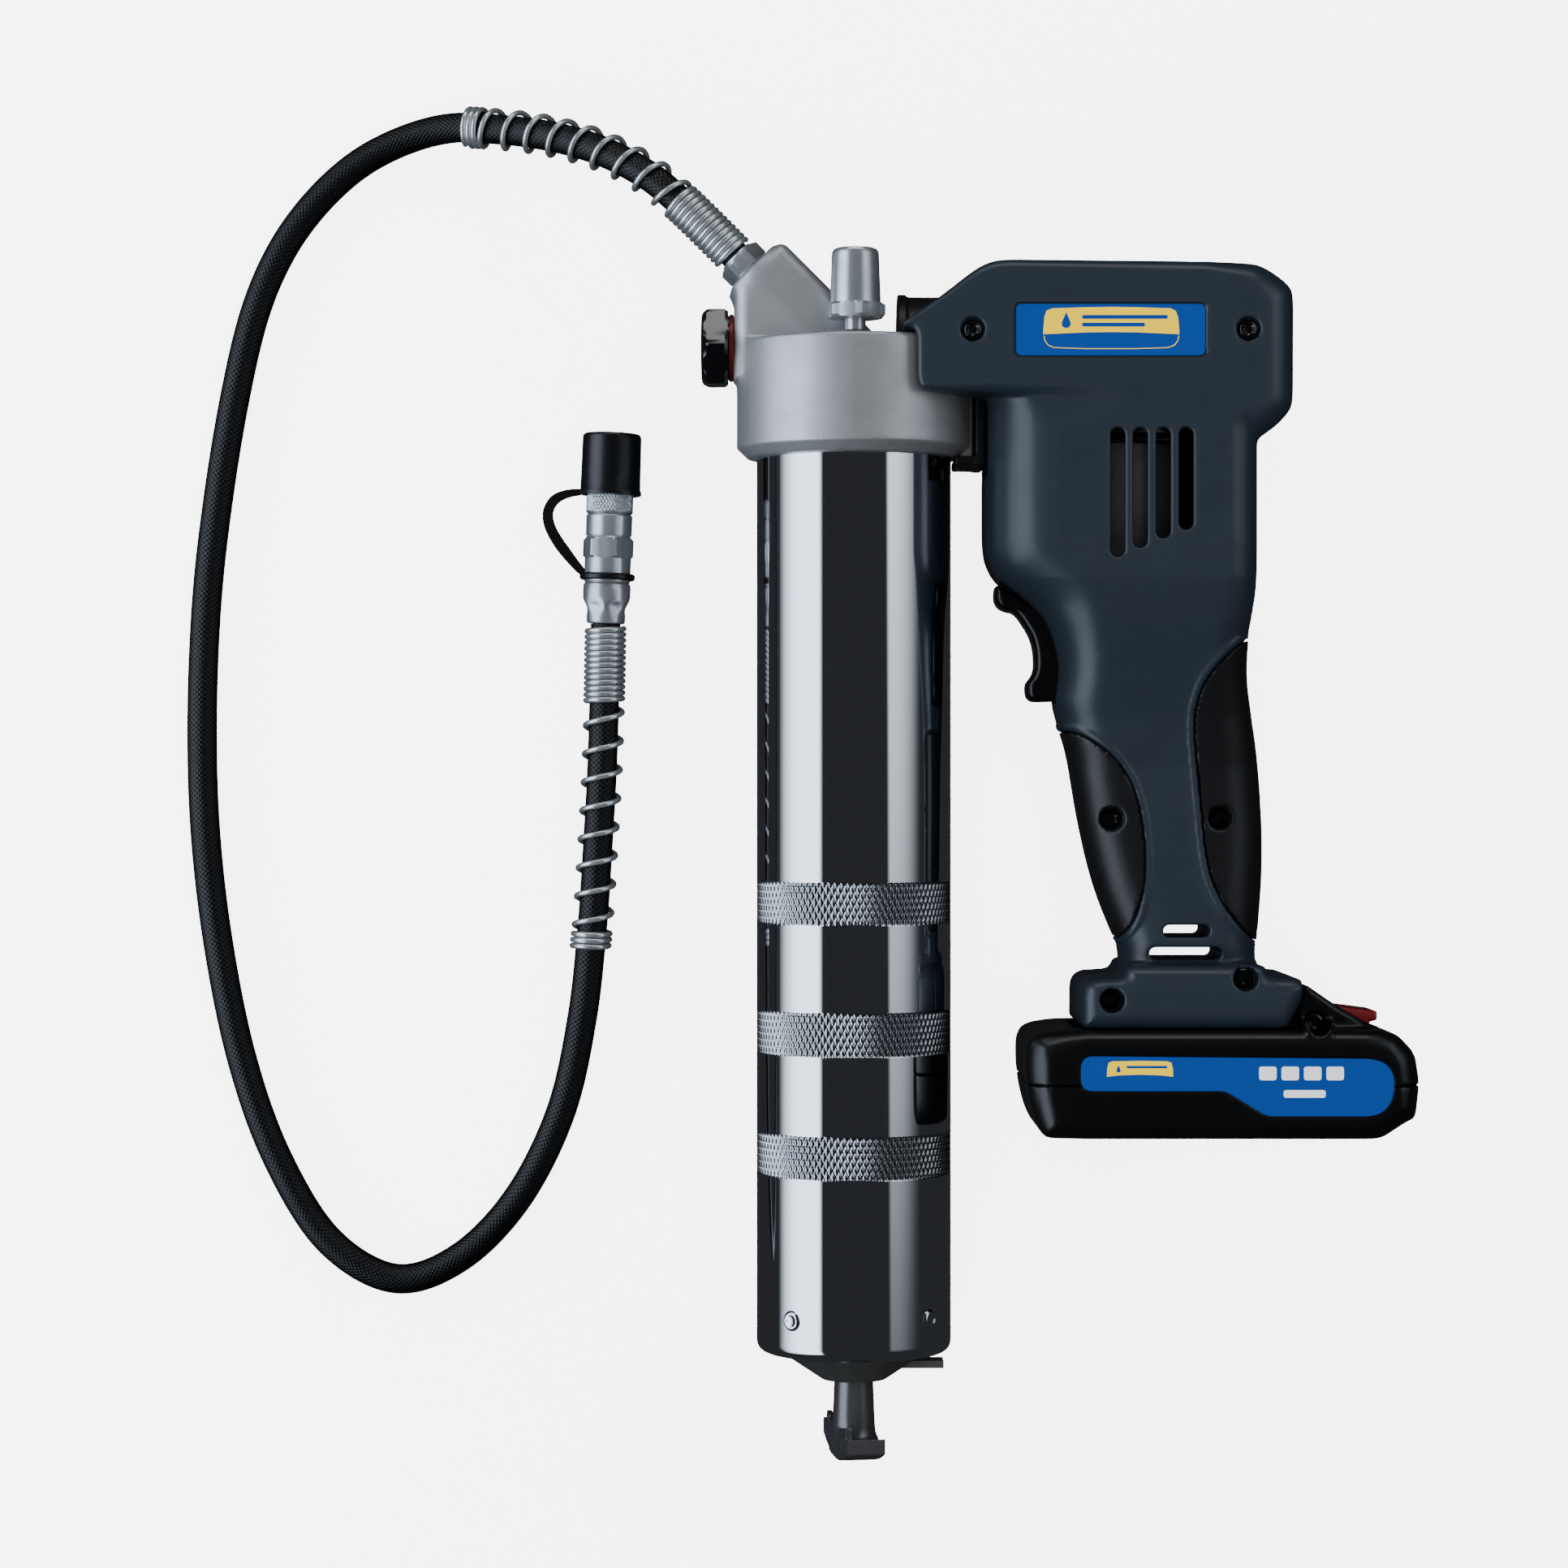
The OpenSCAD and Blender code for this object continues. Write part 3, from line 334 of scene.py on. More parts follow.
spring_wire = finish("spring_wire", (0.66, 0.7, 0.72), 0.26, metal=0.86, speckle=0.25, grain=0.25,
                     grain_mm=0.4, depth_mm=0.01)
hose_length = hose_run[-1]
upper_guard = wound_guard("upper_guard_spring", ["upper_spring_guard"], 1.2, 1,
                          [(12.9, 1.74), (8.6, 8.1), (3.1, 1.78)])
lower_guard = wound_guard("lower_guard_spring", ["lower_spring_guard"], hose_length - 1.3, -1,
                          [(12.7, 1.74), (8, 8.6), (3.1, 1.8)])


# ---------------------------------------------------------------------------------------
# The coupler on the hose's end: a crimped ferrule, a turned body with a hexagon, a knurled
# jaw sleeve, all zinc plated, and the rubber dust cap on its strap.
def turned(profile, sides=96, shape=None):
    """Points and faces of a turned piece along +Z. The profile is (height, radius) pairs;
    where its two ends meet it is a closed ring, else both ends lie on the axis. shape may
    change the radii by angle."""
    closed = profile[0] == profile[-1]
    profile = profile[:-1] if closed else profile
    heights = np.array([h for h, _ in profile], float)[:, None]
    radii = np.array([max(r, 1e-3) for _, r in profile], float)[:, None]
    angle = np.linspace(0, 2 * math.pi, sides, endpoint=False)[None]
    radii = radii * np.ones_like(angle)
    if shape:
        radii = shape(radii, heights, angle)
    points = np.stack([radii * np.cos(angle), radii * np.sin(angle), heights * np.ones_like(angle)], 2)
    faces = grid_faces(len(profile), sides)
    last = (len(profile) - 1) * sides
    if closed:
        faces += [(last + k, last + (k + 1) % sides, (k + 1) % sides, k) for k in range(sides)]
    else:
        faces += [list(range(sides))[::-1], list(range(last, last + sides))]
    return points.reshape(-1, 3), [f[::-1] for f in faces]


def pointing(points, base, direction, roll=0):
    """Moves points from their own +Z axis to a base and direction in barrel coordinates."""
    turn = Vector(direction).to_track_quat("Z", "Y").to_matrix() @ Matrix.Rotation(roll, 3, "Z")
    return np.asarray(points) @ np.array(turn).T + np.asarray(base, float)


def knurl(angle, height, count, pitch, depth):
    """How deep the crossing grooves of a diamond knurl lie under the surface."""
    lean = [np.abs(2 * ((count * angle / (2 * math.pi) + s * height / pitch) % 1) - 1) for s in (1, -1)]
    return depth * np.clip((np.maximum(lean[0], lean[1]) - 0.45) / 0.55, 0, 1)


def flats(radii, angle, across, count=6):
    """Cuts a turned radius back to the flats of a hexagon."""
    step = 2 * math.pi / count
    off = (angle + step / 2) % step - step / 2
    return np.minimum(radii, across / 2 / np.cos(off))


zinc = finish("zinc_plating", (0.54, 0.58, 0.61), 0.3, metal=0.87, speckle=0.22, grain=0.3, grain_mm=0.5,
              depth_mm=0.015)
black_rubber = finish("cap_rubber", (0.0018, 0.0018, 0.0022), 0.34, speckle=0.2, grain=0.5, grain_mm=0.6,
                      depth_mm=0.02)
coupler_way = Vector((1.75, 50, 0)).normalized()
coupler_base = (-74.1, -49, 9 + FLOOR)


def on_coupler(points, roll=0.0):
    return pointing(points, coupler_base, coupler_way, roll)


def crimp(radii, heights, angle):
    press = np.exp(-((heights - 5.2) / 1.6) ** 2)
    return radii - 0.75 * press * np.abs(np.cos(3 * angle)) ** 1.5


points, faces = turned([(0.1, 0), (0.1, 5.4), (0.5, 5.8), (2, 5.85), (3, 5.9), (3.8, 6), (4.6, 6.25),
                        (5.4, 6.6), (6.2, 6.95), (7, 7.1), (8, 7.15), (10, 7.15), (11.6, 7.1),
                        (12.1, 6.8), (12.1, 0)], shape=crimp)
ferrule = piece("coupler_crimped_ferrule", on_coupler(points), faces, "gun_body", "zinc_plate", zinc,
                ["coupler_ferrule"])


def body_hexagon(radii, heights, angle):
    on = (heights > 19.5) & (heights < 26)
    return np.where(on, flats(radii, angle, 13.6), radii)


points, faces = turned([(12.2, 1.8), (12.2, 6.6), (12.7, 6.9), (15.4, 6.95), (19.3, 6.95), (19.6, 6.9),
                        (19.62, 6.95), (20.3, 7.75), (25.1, 7.75), (25.78, 6.95), (25.8, 6.85),
                        (26.3, 6.55), (26.6, 6.9), (31, 6.95), (32.3, 6.95), (32.8, 6.6), (32.8, 1.8),
                        (12.2, 1.8)], shape=body_hexagon)
coupler = piece("coupler_turned_body", on_coupler(points, 0.35), faces, "gun_body", "zinc_plate", zinc,
                ["coupler_body"], crease=28)


def sleeve_knurl(radii, heights, angle):
    on = (heights > 33.6) & (heights < 47.2) & (radii > 6)
    return radii - np.where(on, knurl(angle, heights, 42, 1.7, 0.3), 0)


rows = [(33.6 + 0.25 * k, 7.05) for k in range(56)]
points, faces = turned([(33, 4.6), (33, 6.6), (33.4, 6.95), *rows, (48, 7.0), (51, 6.2), (53, 5.7),
                        (53, 4.6), (33, 4.6)], sides=252, shape=sleeve_knurl)
sleeve = piece("coupler_knurled_sleeve", on_coupler(points), faces, "gun_body", "zinc_plate", zinc,
               ["coupler_sleeve"])

points, faces = turned([(38.6, 7.3), (38.5, 8.6), (38.7, 9.25), (39.2, 9.4), (39.9, 9.3), (40.4, 9.02),
                        (46, 8.92), (54, 8.85), (56, 8.8), (56.7, 8.6), (57.1, 8.1), (57.2, 7.2),
                        (57.2, 0), (55, 0), (55, 6.6), (54.4, 7.15), (39.4, 7.15), (38.6, 7.3)])
dust_cap = piece("rubber_dust_cap", on_coupler(points), faces, "cap", "seal_rubber", black_rubber,
                 ["dust_cap"])

strap_line = curve_through([(-6.4, 0.3, 14.6), (-8.6, 0.2, 16.4), (-12, 0, 20.2), (-15.6, 0, 24.8),
                            (-18, 0, 29.3), (-18.4, 0, 33.4), (-16.4, 0, 36.9), (-12.8, 0, 38.7),
                            (-9, 0, 39.3)], 6)
across = np.gradient(strap_line, axis=0)
across = np.stack([across[:, 2], 0 * across[:, 0], -across[:, 0]], 1)
across /= np.linalg.norm(across, axis=1)[:, None]
share = np.linspace(0, 1, len(strap_line))[:, None]
across *= np.interp(share, [0, 0.3, 0.75, 1], [1.1, 1.9, 1.6, 1])
wide = 1.9 - 0.4 * share
section = [(0.75, -1), (0.9, -0.75), (0.9, 0.75), (0.75, 1), (-0.75, 1), (-0.9, 0.75), (-0.9, -0.75),
           (-0.75, -1)]
rings = np.stack([strap_line + a * across + b * wide * np.array([[0, 1, 0]]) for a, b in section], 1)
faces = grid_faces(len(strap_line), len(section))
faces += [list(range(8))[::-1], list(range(8 * len(strap_line) - 8, 8 * len(strap_line)))]
band, band_faces = turned([(13.3, 7.0), (13.1, 7.8), (13.5, 8.3), (14.6, 8.35), (15.1, 7.9), (15, 7.0),
                           (13.3, 7.0)])
count = len(band)
points = np.vstack([band, rings.reshape(-1, 3)])
faces = band_faces + [[count + v for v in f] for f in faces]
strap = piece("cap_tether_strap", on_coupler(points, math.pi), faces, None, "seal_rubber",
              black_rubber, ["cap_strap"])
strap_from, strap_to = row(on_coupler([(-10, 0, 16), (-9, 0, 39)], math.pi))
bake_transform(strap)


# ---------------------------------------------------------------------------------------
# The hose's fitting on the head and the filler nipple for a bulk loader, both turned from
# hexagon bar and zinc plated. The filler stands in front of the outlet block.
outlet = np.array([-29.5, 52.9, 0])
outlet_way = (-math.sqrt(0.5), math.sqrt(0.5), 0)


def inlet_hexagon(radii, heights, angle):
    on = (heights > 1.45) & (heights < 6.7)
    return np.where(on, flats(radii, angle, 12.6), radii)


points, faces = turned([(0, 0), (0, 6.4), (0.3, 6.7), (1.2, 6.7), (1.4, 6.2), (1.46, 6.1), (2.1, 7.2),
                        (5.9, 7.2), (6.6, 6.2), (6.7, 5.5), (7.3, 5.2), (7.45, 0)], shape=inlet_hexagon)
piece("hose_fitting_hexagon", pointing(points, outlet, outlet_way, 0.4), faces, "gun_body",
      "zinc_plate", zinc, ["hose_inlet_fitting"], crease=28)


def filler_hexagon(radii, heights, angle):
    on = (heights > 3.4) & (heights < 7.75)
    return np.where(on, flats(radii, angle, 15.8), radii)


filler_base = (0.1, 33.8, 21.5)
points, faces = turned([(0.05, 0), (0.05, 3), (3.2, 3), (3.4, 3.6), (3.45, 7.8), (4.1, 9.1), (7, 9.1),
                        (7.7, 7.9), (7.75, 7.35), (8.6, 7.3), (12, 7.2), (17, 7.0), (21.6, 6.85),
                        (22.6, 6.7), (23.3, 6.2), (23.6, 5.4), (23.6, 4), (17, 4), (17, 0)],
                       shape=filler_hexagon)
piece("bulk_filler_nipple", pointing(points, filler_base, (0, 1, 0), 0.2), faces, "gun_body",
      "zinc_plate", zinc, ["filler_nipple"], crease=28)


# ---------------------------------------------------------------------------------------
# The pump head: one aluminium casting, blasted, with the ring that the barrel screws into
# and the block that holds the plunger's bore and the outlet at 45 degrees.
def lattice(low, high, cell):
    """The three coordinates of a block of cells, ready to be combined."""
    axes = [np.arange(a, b + cell, cell, dtype=np.float32) for a, b in zip(low, high)]
    return np.meshgrid(*axes, indexing="ij", sparse=True)


def skin(field, low, cell, even=0.02):
    """The surface where a field of signed distances is zero, as points and faces."""
    cloud = openvdb.FloatGrid(3 * cell)
    cloud.copyFromArray(np.clip(field, -3 * cell, 3 * cell).astype(np.float32), tolerance=0.0)
    points, triangles, quads = cloud.convertToPolygons(isovalue=0, adaptivity=even)
    points = points * cell + np.asarray(low, float)
    faces = [tuple(f)[::-1] for f in triangles] + [tuple(f)[::-1] for f in quads]
    return points, faces


def to_outline(x, y, outline):
    """Signed distance to a closed outline, less than zero inside it."""
    x, y = np.broadcast_arrays(x, y)
    best = np.full(x.shape, 1e9, np.float32)
    inside = np.zeros(x.shape, bool)
    for (ax, ay), (bx, by) in zip(outline, np.roll(outline, -1, axis=0)):
        ex, ey = bx - ax, by - ay
        part = np.clip(((x - ax) * ex + (y - ay) * ey) / (ex * ex + ey * ey + 1e-9), 0, 1)
        best = np.minimum(best, (x - ax - part * ex) ** 2 + (y - ay - part * ey) ** 2)
        inside ^= ((ay > y) != (by > y)) & (x < ex * (y - ay) / (by - ay + 1e-12) + ax)
    return np.where(inside, -1, 1) * np.sqrt(best)


def soften(outline, reach=3.0):
    """Rounds an outline's corners, each over that reach along its sides at the most."""
    out = []
    p = np.asarray(outline, float)
    for a, b, c in zip(np.roll(p, 1, axis=0), p, np.roll(p, -1, axis=0)):
        start = b + (a - b) * min(0.48, reach / np.hypot(*(a - b)))
        end = b + (c - b) * min(0.48, reach / np.hypot(*(c - b)))
        out += [start * (1 - t) ** 2 + 2 * b * t * (1 - t) + end * t * t for t in (0, 0.25, 0.5, 0.75, 1)]
    return np.array(out)


def eased(flat, cell, reach):
    """Takes the creases out of an outline's distance, well inside the outline."""
    n = int(reach / cell)
    bell = np.exp(-np.linspace(-2, 2, 2 * n + 1) ** 2)
    soft = flat[:, :, 0]
    for axis in (0, 1):
        wide = np.pad(soft, [(n, n) if axis == k else (0, 0) for k in (0, 1)], mode="edge")
        soft = np.apply_along_axis(np.convolve, axis, wide, bell / bell.sum(), "valid")
    inner = np.clip(-(flat[:, :, 0] + 1) / 5, 0, 1)
    return (flat[:, :, 0] * (1 - inner) + soft * inner).astype(np.float32)[:, :, None]


def join(a, b, blend):
    """Both shapes, with a fillet where they meet."""
    h = np.maximum(blend - np.abs(a - b), 0) / blend
    return np.minimum(a, b) - h * h * blend / 4


def cut(a, b, blend=0.5):
    """The first shape without the second, its new edges slightly rounded."""
    h = np.maximum(blend - np.abs(a + b), 0) / blend
    return np.maximum(a, -b) + h * h * blend / 4


def plate(flat, z, half, edge):
    """A flat outline's distance carried to both sides of the mid plane, with round edges."""
    a, b = flat + edge, np.abs(z) - half + edge
    return np.minimum(np.maximum(a, b), 0) + np.hypot(np.maximum(a, 0), np.maximum(b, 0)) - edge


def rod_x(y, z, at_y, at_z, radius):
    """Distance to a round bar along x."""
    return np.hypot(y - at_y, z - at_z) - radius


def block_at(x, y, z, x_span, y_span, reach):
    """Distance to a square block: its spans, and its reach to both sides of z = 0."""
    out = [np.abs(v - (a + b) / 2) - (b - a) / 2 for v, (a, b) in ((x, x_span), (y, y_span))]
    return np.maximum(np.maximum(*out), np.abs(z) - reach)


low, high, cell = (-37, -3, -36), (36.5, 63, 36), 0.42
x, y, z = lattice(low, high, cell)
round_y = np.hypot(x, z)
ring_radius, ring_top, tube_seat, plunger_y = 34.4, 32.4, 28.7, 31
ring = np.maximum(round_y - ring_radius, np.abs(y - 15.4) - 17)
ring = np.maximum(ring, (round_y - 32.9 - y * 1.05) * 0.7)
edge = np.maximum(1.6 - np.abs((round_y - ring_radius) - (y - ring_top)), 0)
ring = ring + edge * edge / 6.4 * (y > 20)
outlet_outline = [(-35.1, 21), (-35.1, 47.8), (-34.6, 48.7), (-23.4, 59.9), (-22, 60.6), (-20.2, 60.4),
                  (-19, 59.4), (4, 36.4), (8, 32), (8, 24), (-20, 20)]
block = plate(to_outline(x, y, outlet_outline), z, 12.4, 4.6)
along = (x - outlet[0]) * outlet_way[0] + (y - outlet[1]) * outlet_way[1]
across = (x - outlet[0]) * outlet_way[1] - (y - outlet[1]) * outlet_way[0]
boss = np.maximum(np.hypot(across, z * 0.8) - 9.6, np.abs(along + 17) - 17)
casting = join(ring, join(block, boss, 3), 2.2)
casting = cut(casting, np.maximum(round_y - tube_seat, np.abs(y - 5) - 10.6), 0.4)
lug = block_at(x, y, z, (20, 34.4), (-1.6, 16), 7)
casting = np.minimum(casting, cut(lug, round_y - tube_seat, 0.4))
casting = cut(casting, np.maximum(rod_x(y, z, plunger_y, 0, 4.4), -26 - x), 0.3)
casting = cut(casting, np.maximum(np.maximum(np.hypot(across, z) - 4.9, -20 - along), along + 0.3), 0.3)
blasted = finish("blasted_aluminium", (0.50, 0.51, 0.525), 0.46, metal=0.85, speckle=0.16, grain=0.75,
                 grain_mm=0.55, depth_mm=0.07, rough_spread=0.08)
piece("pump_head_casting", *skin(casting, low, cell), "gun_body", "cast_aluminium", blasted,
      ["head_casting"])

# ---------------------------------------------------------------------------------------
# The plug that closes the plunger's bore: a black hexagon with chamfered corners, screwed
# in against a copper washer.
gloss_black = finish("black_oxide_gloss", (0.002, 0.002, 0.0022), 0.18, speckle=0.2, grain=0.2,
                     grain_mm=1.2, depth_mm=0.01, coat=0.6)


def plug_hexagon(radii, heights, angle):
    return np.where(heights > 1.6, flats(radii, angle, 21.9), radii)


points, faces = turned([(0, 0), (0, 9.4), (1.55, 9.4), (1.6, 10.6), (1.65, 11), (2.5, 12.6), (7.2, 12.6),
                        (7.9, 12.1), (8.7, 10.9), (9.2, 10.1), (9.45, 9.2), (9.5, 8), (9.3, 7.4),
                        (9.3, 0)], shape=plug_hexagon)
piece("bore_plug_hexagon", pointing(points, (-35.3, plunger_y, 0), (-1, 0, 0)), faces,
      "gun_body", "black_steel", gloss_black, ["plunger_bore_plug"], crease=25)
copper = finish("copper_washer", (0.16, 0.02, 0.016), 0.35, metal=0.6, speckle=0.4, grain=0.3)
points, faces = turned([(0.02, 7.5), (0.02, 9.6), (0.25, 9.85), (1.2, 9.85), (1.45, 9.6), (1.45, 7.5),
                        (0.02, 7.5)])
piece("bore_plug_washer", pointing(points, (-35.2, plunger_y, 0), (-1, 0, 0)), faces, "gun_body",
      "copper_washer", copper, ["plug_washer"])

# ---------------------------------------------------------------------------------------
# The grease barrel: a chromed steel tube with three knurled bands for the hand, spun in
# at the foot, where four pressed buttons hold the black end cap.
barrel_radius, barrel_foot, barrel_top = 28.5, -263.5, 12.9
bands = [(-137.6, -125.5), (-175.5, -163), (-210.9, -198.6)]
chrome = finish("barrel_chrome", (0.80, 0.81, 0.83), 0.05, metal=1, speckle=0.05, rough_spread=0.025,
                grain=0.06, grain_mm=9, depth_mm=0.02, streak=(1, 0.12, 1))


def band_knurl(radii, heights, angle):
    depth = np.zeros_like(radii)
    for low_y, high_y in bands:
        on = (heights > low_y) & (heights < high_y) & (radii > 28)
        depth = depth + np.where(on, 0.02 + knurl(angle, heights, 96, 3.75, 0.4), 0)
    return radii - depth


heights = [barrel_top]
for low_y, high_y in bands:
    heights += [high_y + 0.45, high_y + 0.15] + list(np.arange(high_y, low_y, -0.27))
    heights += [low_y - 0.15, low_y - 0.45]
heights += [barrel_foot + 3.8]
corner = [(barrel_foot + 3.2 - 3.2 * math.sin(a), barrel_radius - 3.2 + 3.2 * math.cos(a))
          for a in np.radians(np.arange(0, 91, 15))]
profile = [(h, barrel_radius) for h in heights] + corner
profile += [(barrel_foot, 22), (barrel_foot, 18.3), (barrel_foot + 1.2, 18.3), (barrel_foot + 1.2, 25),
            (barrel_foot + 3, 27.3), (barrel_top, 27.3), (barrel_top, barrel_radius)]
points, faces = turned(profile, sides=96 * 8, shape=band_knurl)
tube = piece("barrel_knurled_tube", pointing(points, (0, 0, 0), (0, 1, 0)), [f[::-1] for f in faces],
             "barrel", "tube_chrome", chrome, ["barrel_tube"], crease=50)
# The knurled bands get a chrome of half the brightness, a painted shade for the dim reflections in the
# knurl's grooves.
tube.data.materials.append(finish("knurled_chrome", (0.40, 0.41, 0.43), 0.2, metal=1, speckle=0.1))
for face in tube.data.polygons:
    at_y = (face.center.y - AXIS[1]) * 1000
    if any(low_y < at_y < high_y for low_y, high_y in bands):
        face.material_index = 1

button_profile = [(-0.6, 0), (-0.6, 3.1), (-0.1, 3.05), (0.3, 2.75), (0.62, 2.3), (0.66, 1.9),
                  (0.45, 1.5), (0.22, 0.8), (0.2, 0)]
all_points, all_faces = [], []
for turn in range(50, 410, 90):
    points, faces = turned(button_profile, sides=32)
    out = (math.sin(math.radians(turn)), 0, math.cos(math.radians(turn)))
    base = np.array(out) * barrel_radius + (0, barrel_foot + 11.5, 0)
    all_faces += [[v + 32 * len(button_profile) * len(all_points) for v in f] for f in faces]
    all_points.append(pointing(points, base, out))
piece("end_cap_buttons", np.vstack(all_points), all_faces, "barrel", "tube_chrome", chrome,
      ["end_cap_rivets"])

black_satin = finish("cap_black_satin", (0.04, 0.041, 0.04), 0.34, speckle=0.3, grain=0.4,
                     grain_mm=0.8, depth_mm=0.02)

# ---------------------------------------------------------------------------------------
# The rod's T-handle: a black steel hub pressed onto the rod, spread at its foot into a
# cross bar whose ends curl back towards the barrel.
low, high, cell = (-11, -297, -23), (11, -269, 23), 0.34
x, y, z = lattice(low, high, cell)
lean = math.radians(8.8)
bar_x = x * math.cos(lean) - z * math.sin(lean)
bar_z = x * math.sin(lean) + z * math.cos(lean)
hub = np.hypot(x, z) - np.interp(y, [-294, -282, -272], [6.7, 6.15, 5.75])
hub = np.maximum(hub, np.abs(y + 281.8) - 10)
bow = np.hypot(bar_z, y + 236.6) - 56.2
bar = np.maximum(np.maximum(np.abs(bow) - 1.7, np.abs(bar_x) - 5.2), np.abs(bar_z) - 21)
lip = np.maximum(np.maximum(np.abs(bar_x + 4.4) - 0.9, np.abs(bow + 3) - 3.2), np.abs(bar_z) - 17)
points, faces = skin(join(join(hub, bar - 0.4, 4.5), lip, 2), low, cell)
blued = finish("handle_blued_steel", (0.13, 0.13, 0.135), 0.27, metal=0.8, speckle=0.2, grain=0.15,
               grain_mm=2, depth_mm=0.02)
piece("rod_cross_handle", points, faces, "rod", "black_steel", blued, ["rod_handle"])

# ---------------------------------------------------------------------------------------
# The motor housing: two nylon shells moulded with a 2.5 mm wall and split along the middle
# of the gun. The gear block carries the badge; below it the motor bay is rounded off like
# a drum, necks down to the slim grip, and ends in the foot that the battery slides under.
bay_half, grip_half, foot_half, wall = 34.5, 18.0, 31.0, 2.5
block_outline = [(12, 33.8), (17.5, 33.8), (17.5, 17.6), (19.6, 15.3), (38.2, 14.8), (62, 13.4),
                 (100, 8), (115.6, 2.5), (117.3, 3.3), (120.9, 5.7), (124, 8.9), (125.8, 12),
                 (125.9, 43), (124.9, 45.8), (121.7, 48.6), (116.8, 51.8), (112, 52.4), (42.2, 53),
                 (38.2, 52.2), (34.2, 50.2), (25, 43)]
drum_outline = [(38.2, 24), (38.2, -28), (39.4, -33), (42.1, -37.6), (48.5, -42.5), (55.6, -48.7),
                (58.5, -56.6), (59.5, -62.6), (59.2, -68.5), (58.3, -72.8), (59.9, -79.3),
                (61.8, -84), (63.5, -91.2), (65.7, -105.5), (68.8, -119.8), (71.6, -129.4),
                (75.4, -138.9), (77.8, -144), (78.3, -156), (117.4, -156), (117.2, -143.7),
                (117.9, -138.9), (119, -125), (119.1, -110.3), (118.2, -96), (117, -86.4),
                (115.3, -76.9), (113.6, -67.3), (113.4, -60), (113.7, -54), (114.8, -47),
                (115.6, -40), (115.6, 24)]
foot_outline = [(65.1, -167.4), (65.1, -156.8), (66.3, -154.2), (68.8, -152.8), (77, -152.4),
                (78.3, -149), (117.4, -149), (118.6, -151.6), (121, -152.4), (126.6, -152.6),
                (129.2, -154), (129.6, -156.2), (124, -167.4)]
finger_edge = [(50, -81.2), (61.8, -81.8), (65.9, -83), (71.9, -86.7), (76.4, -90.9), (80.1, -96.9),
               (82.3, -103.6), (83.5, -111.1), (84.2, -120.2), (83.5, -127.6), (81.6, -135.1),
               (79.4, -138.9), (76, -143), (50, -143.6)]
palm_edge = [(125, -55), (113.5, -55), (107.7, -59.2), (102.6, -64.6), (99.6, -69.9), (98.1, -76.6),
             (98.1, -82.6), (99.3, -93.9), (100.4, -105.1), (101.5, -116.4), (103, -123.9),
             (106.3, -131.4), (110.9, -137.4), (117, -143.3), (125, -143.3)]
bay_screws = [(33.4, 32.7), (112.1, 32.8)]
grip_screws = [(74.6, -107.2), (105.9, -107)]
foot_screws = [(73.5, -159.1), (111.8, -152.9)]
vents = [(74.8, -32.1), (81.2, -29.6), (87.8, -26.9), (94.3, -24.4)]
strap_slots = [(96.1, -139.7, 6.7), (95.9, -146.2, 10.4)]
badge_low, badge_high = (45.4, 24.9), (100, 40.2)
trigger_opening = ((40, 70), (-73.4, -37.8), 8.4)


def drum_body(x, y, z):
    """The motor bay, its neck and the grip in one, which the soft pads follow too."""
    flat = eased(to_outline(x, y, soften(drum_outline, 6)), 0.5, 7)
    half = np.interp(y, [-104, -92, -78, -64, -50, -38, -28],
                     [grip_half, 18.6, 21.4, 25.8, 30.4, 33.6, bay_half])
    high = np.interp(y, [-95, -45], [0, 1])
    turn = 13 + high * (np.interp(x, [40, 62, 90, 112], [21, 18, 11, 10]) - 13)
    return plate(flat, z, half.astype(np.float32), turn.astype(np.float32))


def slot_distance(x, y, at, reach, radius):
    return np.hypot(np.maximum(np.abs(x - at[0]) - reach, 0), y - at[1]) - radius


def housing_body(x, y, z):
    """The housing as one solid, before it is hollowed."""
    turn = np.interp(x, [14, 40, 100, 118], [1.6, 3.4, 4.5, 9]).astype(np.float32)
    block = plate(eased(to_outline(x, y, soften(block_outline, 4)), 0.5, 4), z, bay_half, turn)
    foot = plate(to_outline(x, y, soften(foot_outline, 2)), z, foot_half, 5)
    whole = join(join(block, drum_body(x, y, z), 2.5), foot, 1.8)
    return np.maximum(whole, np.abs(z) - bay_half)


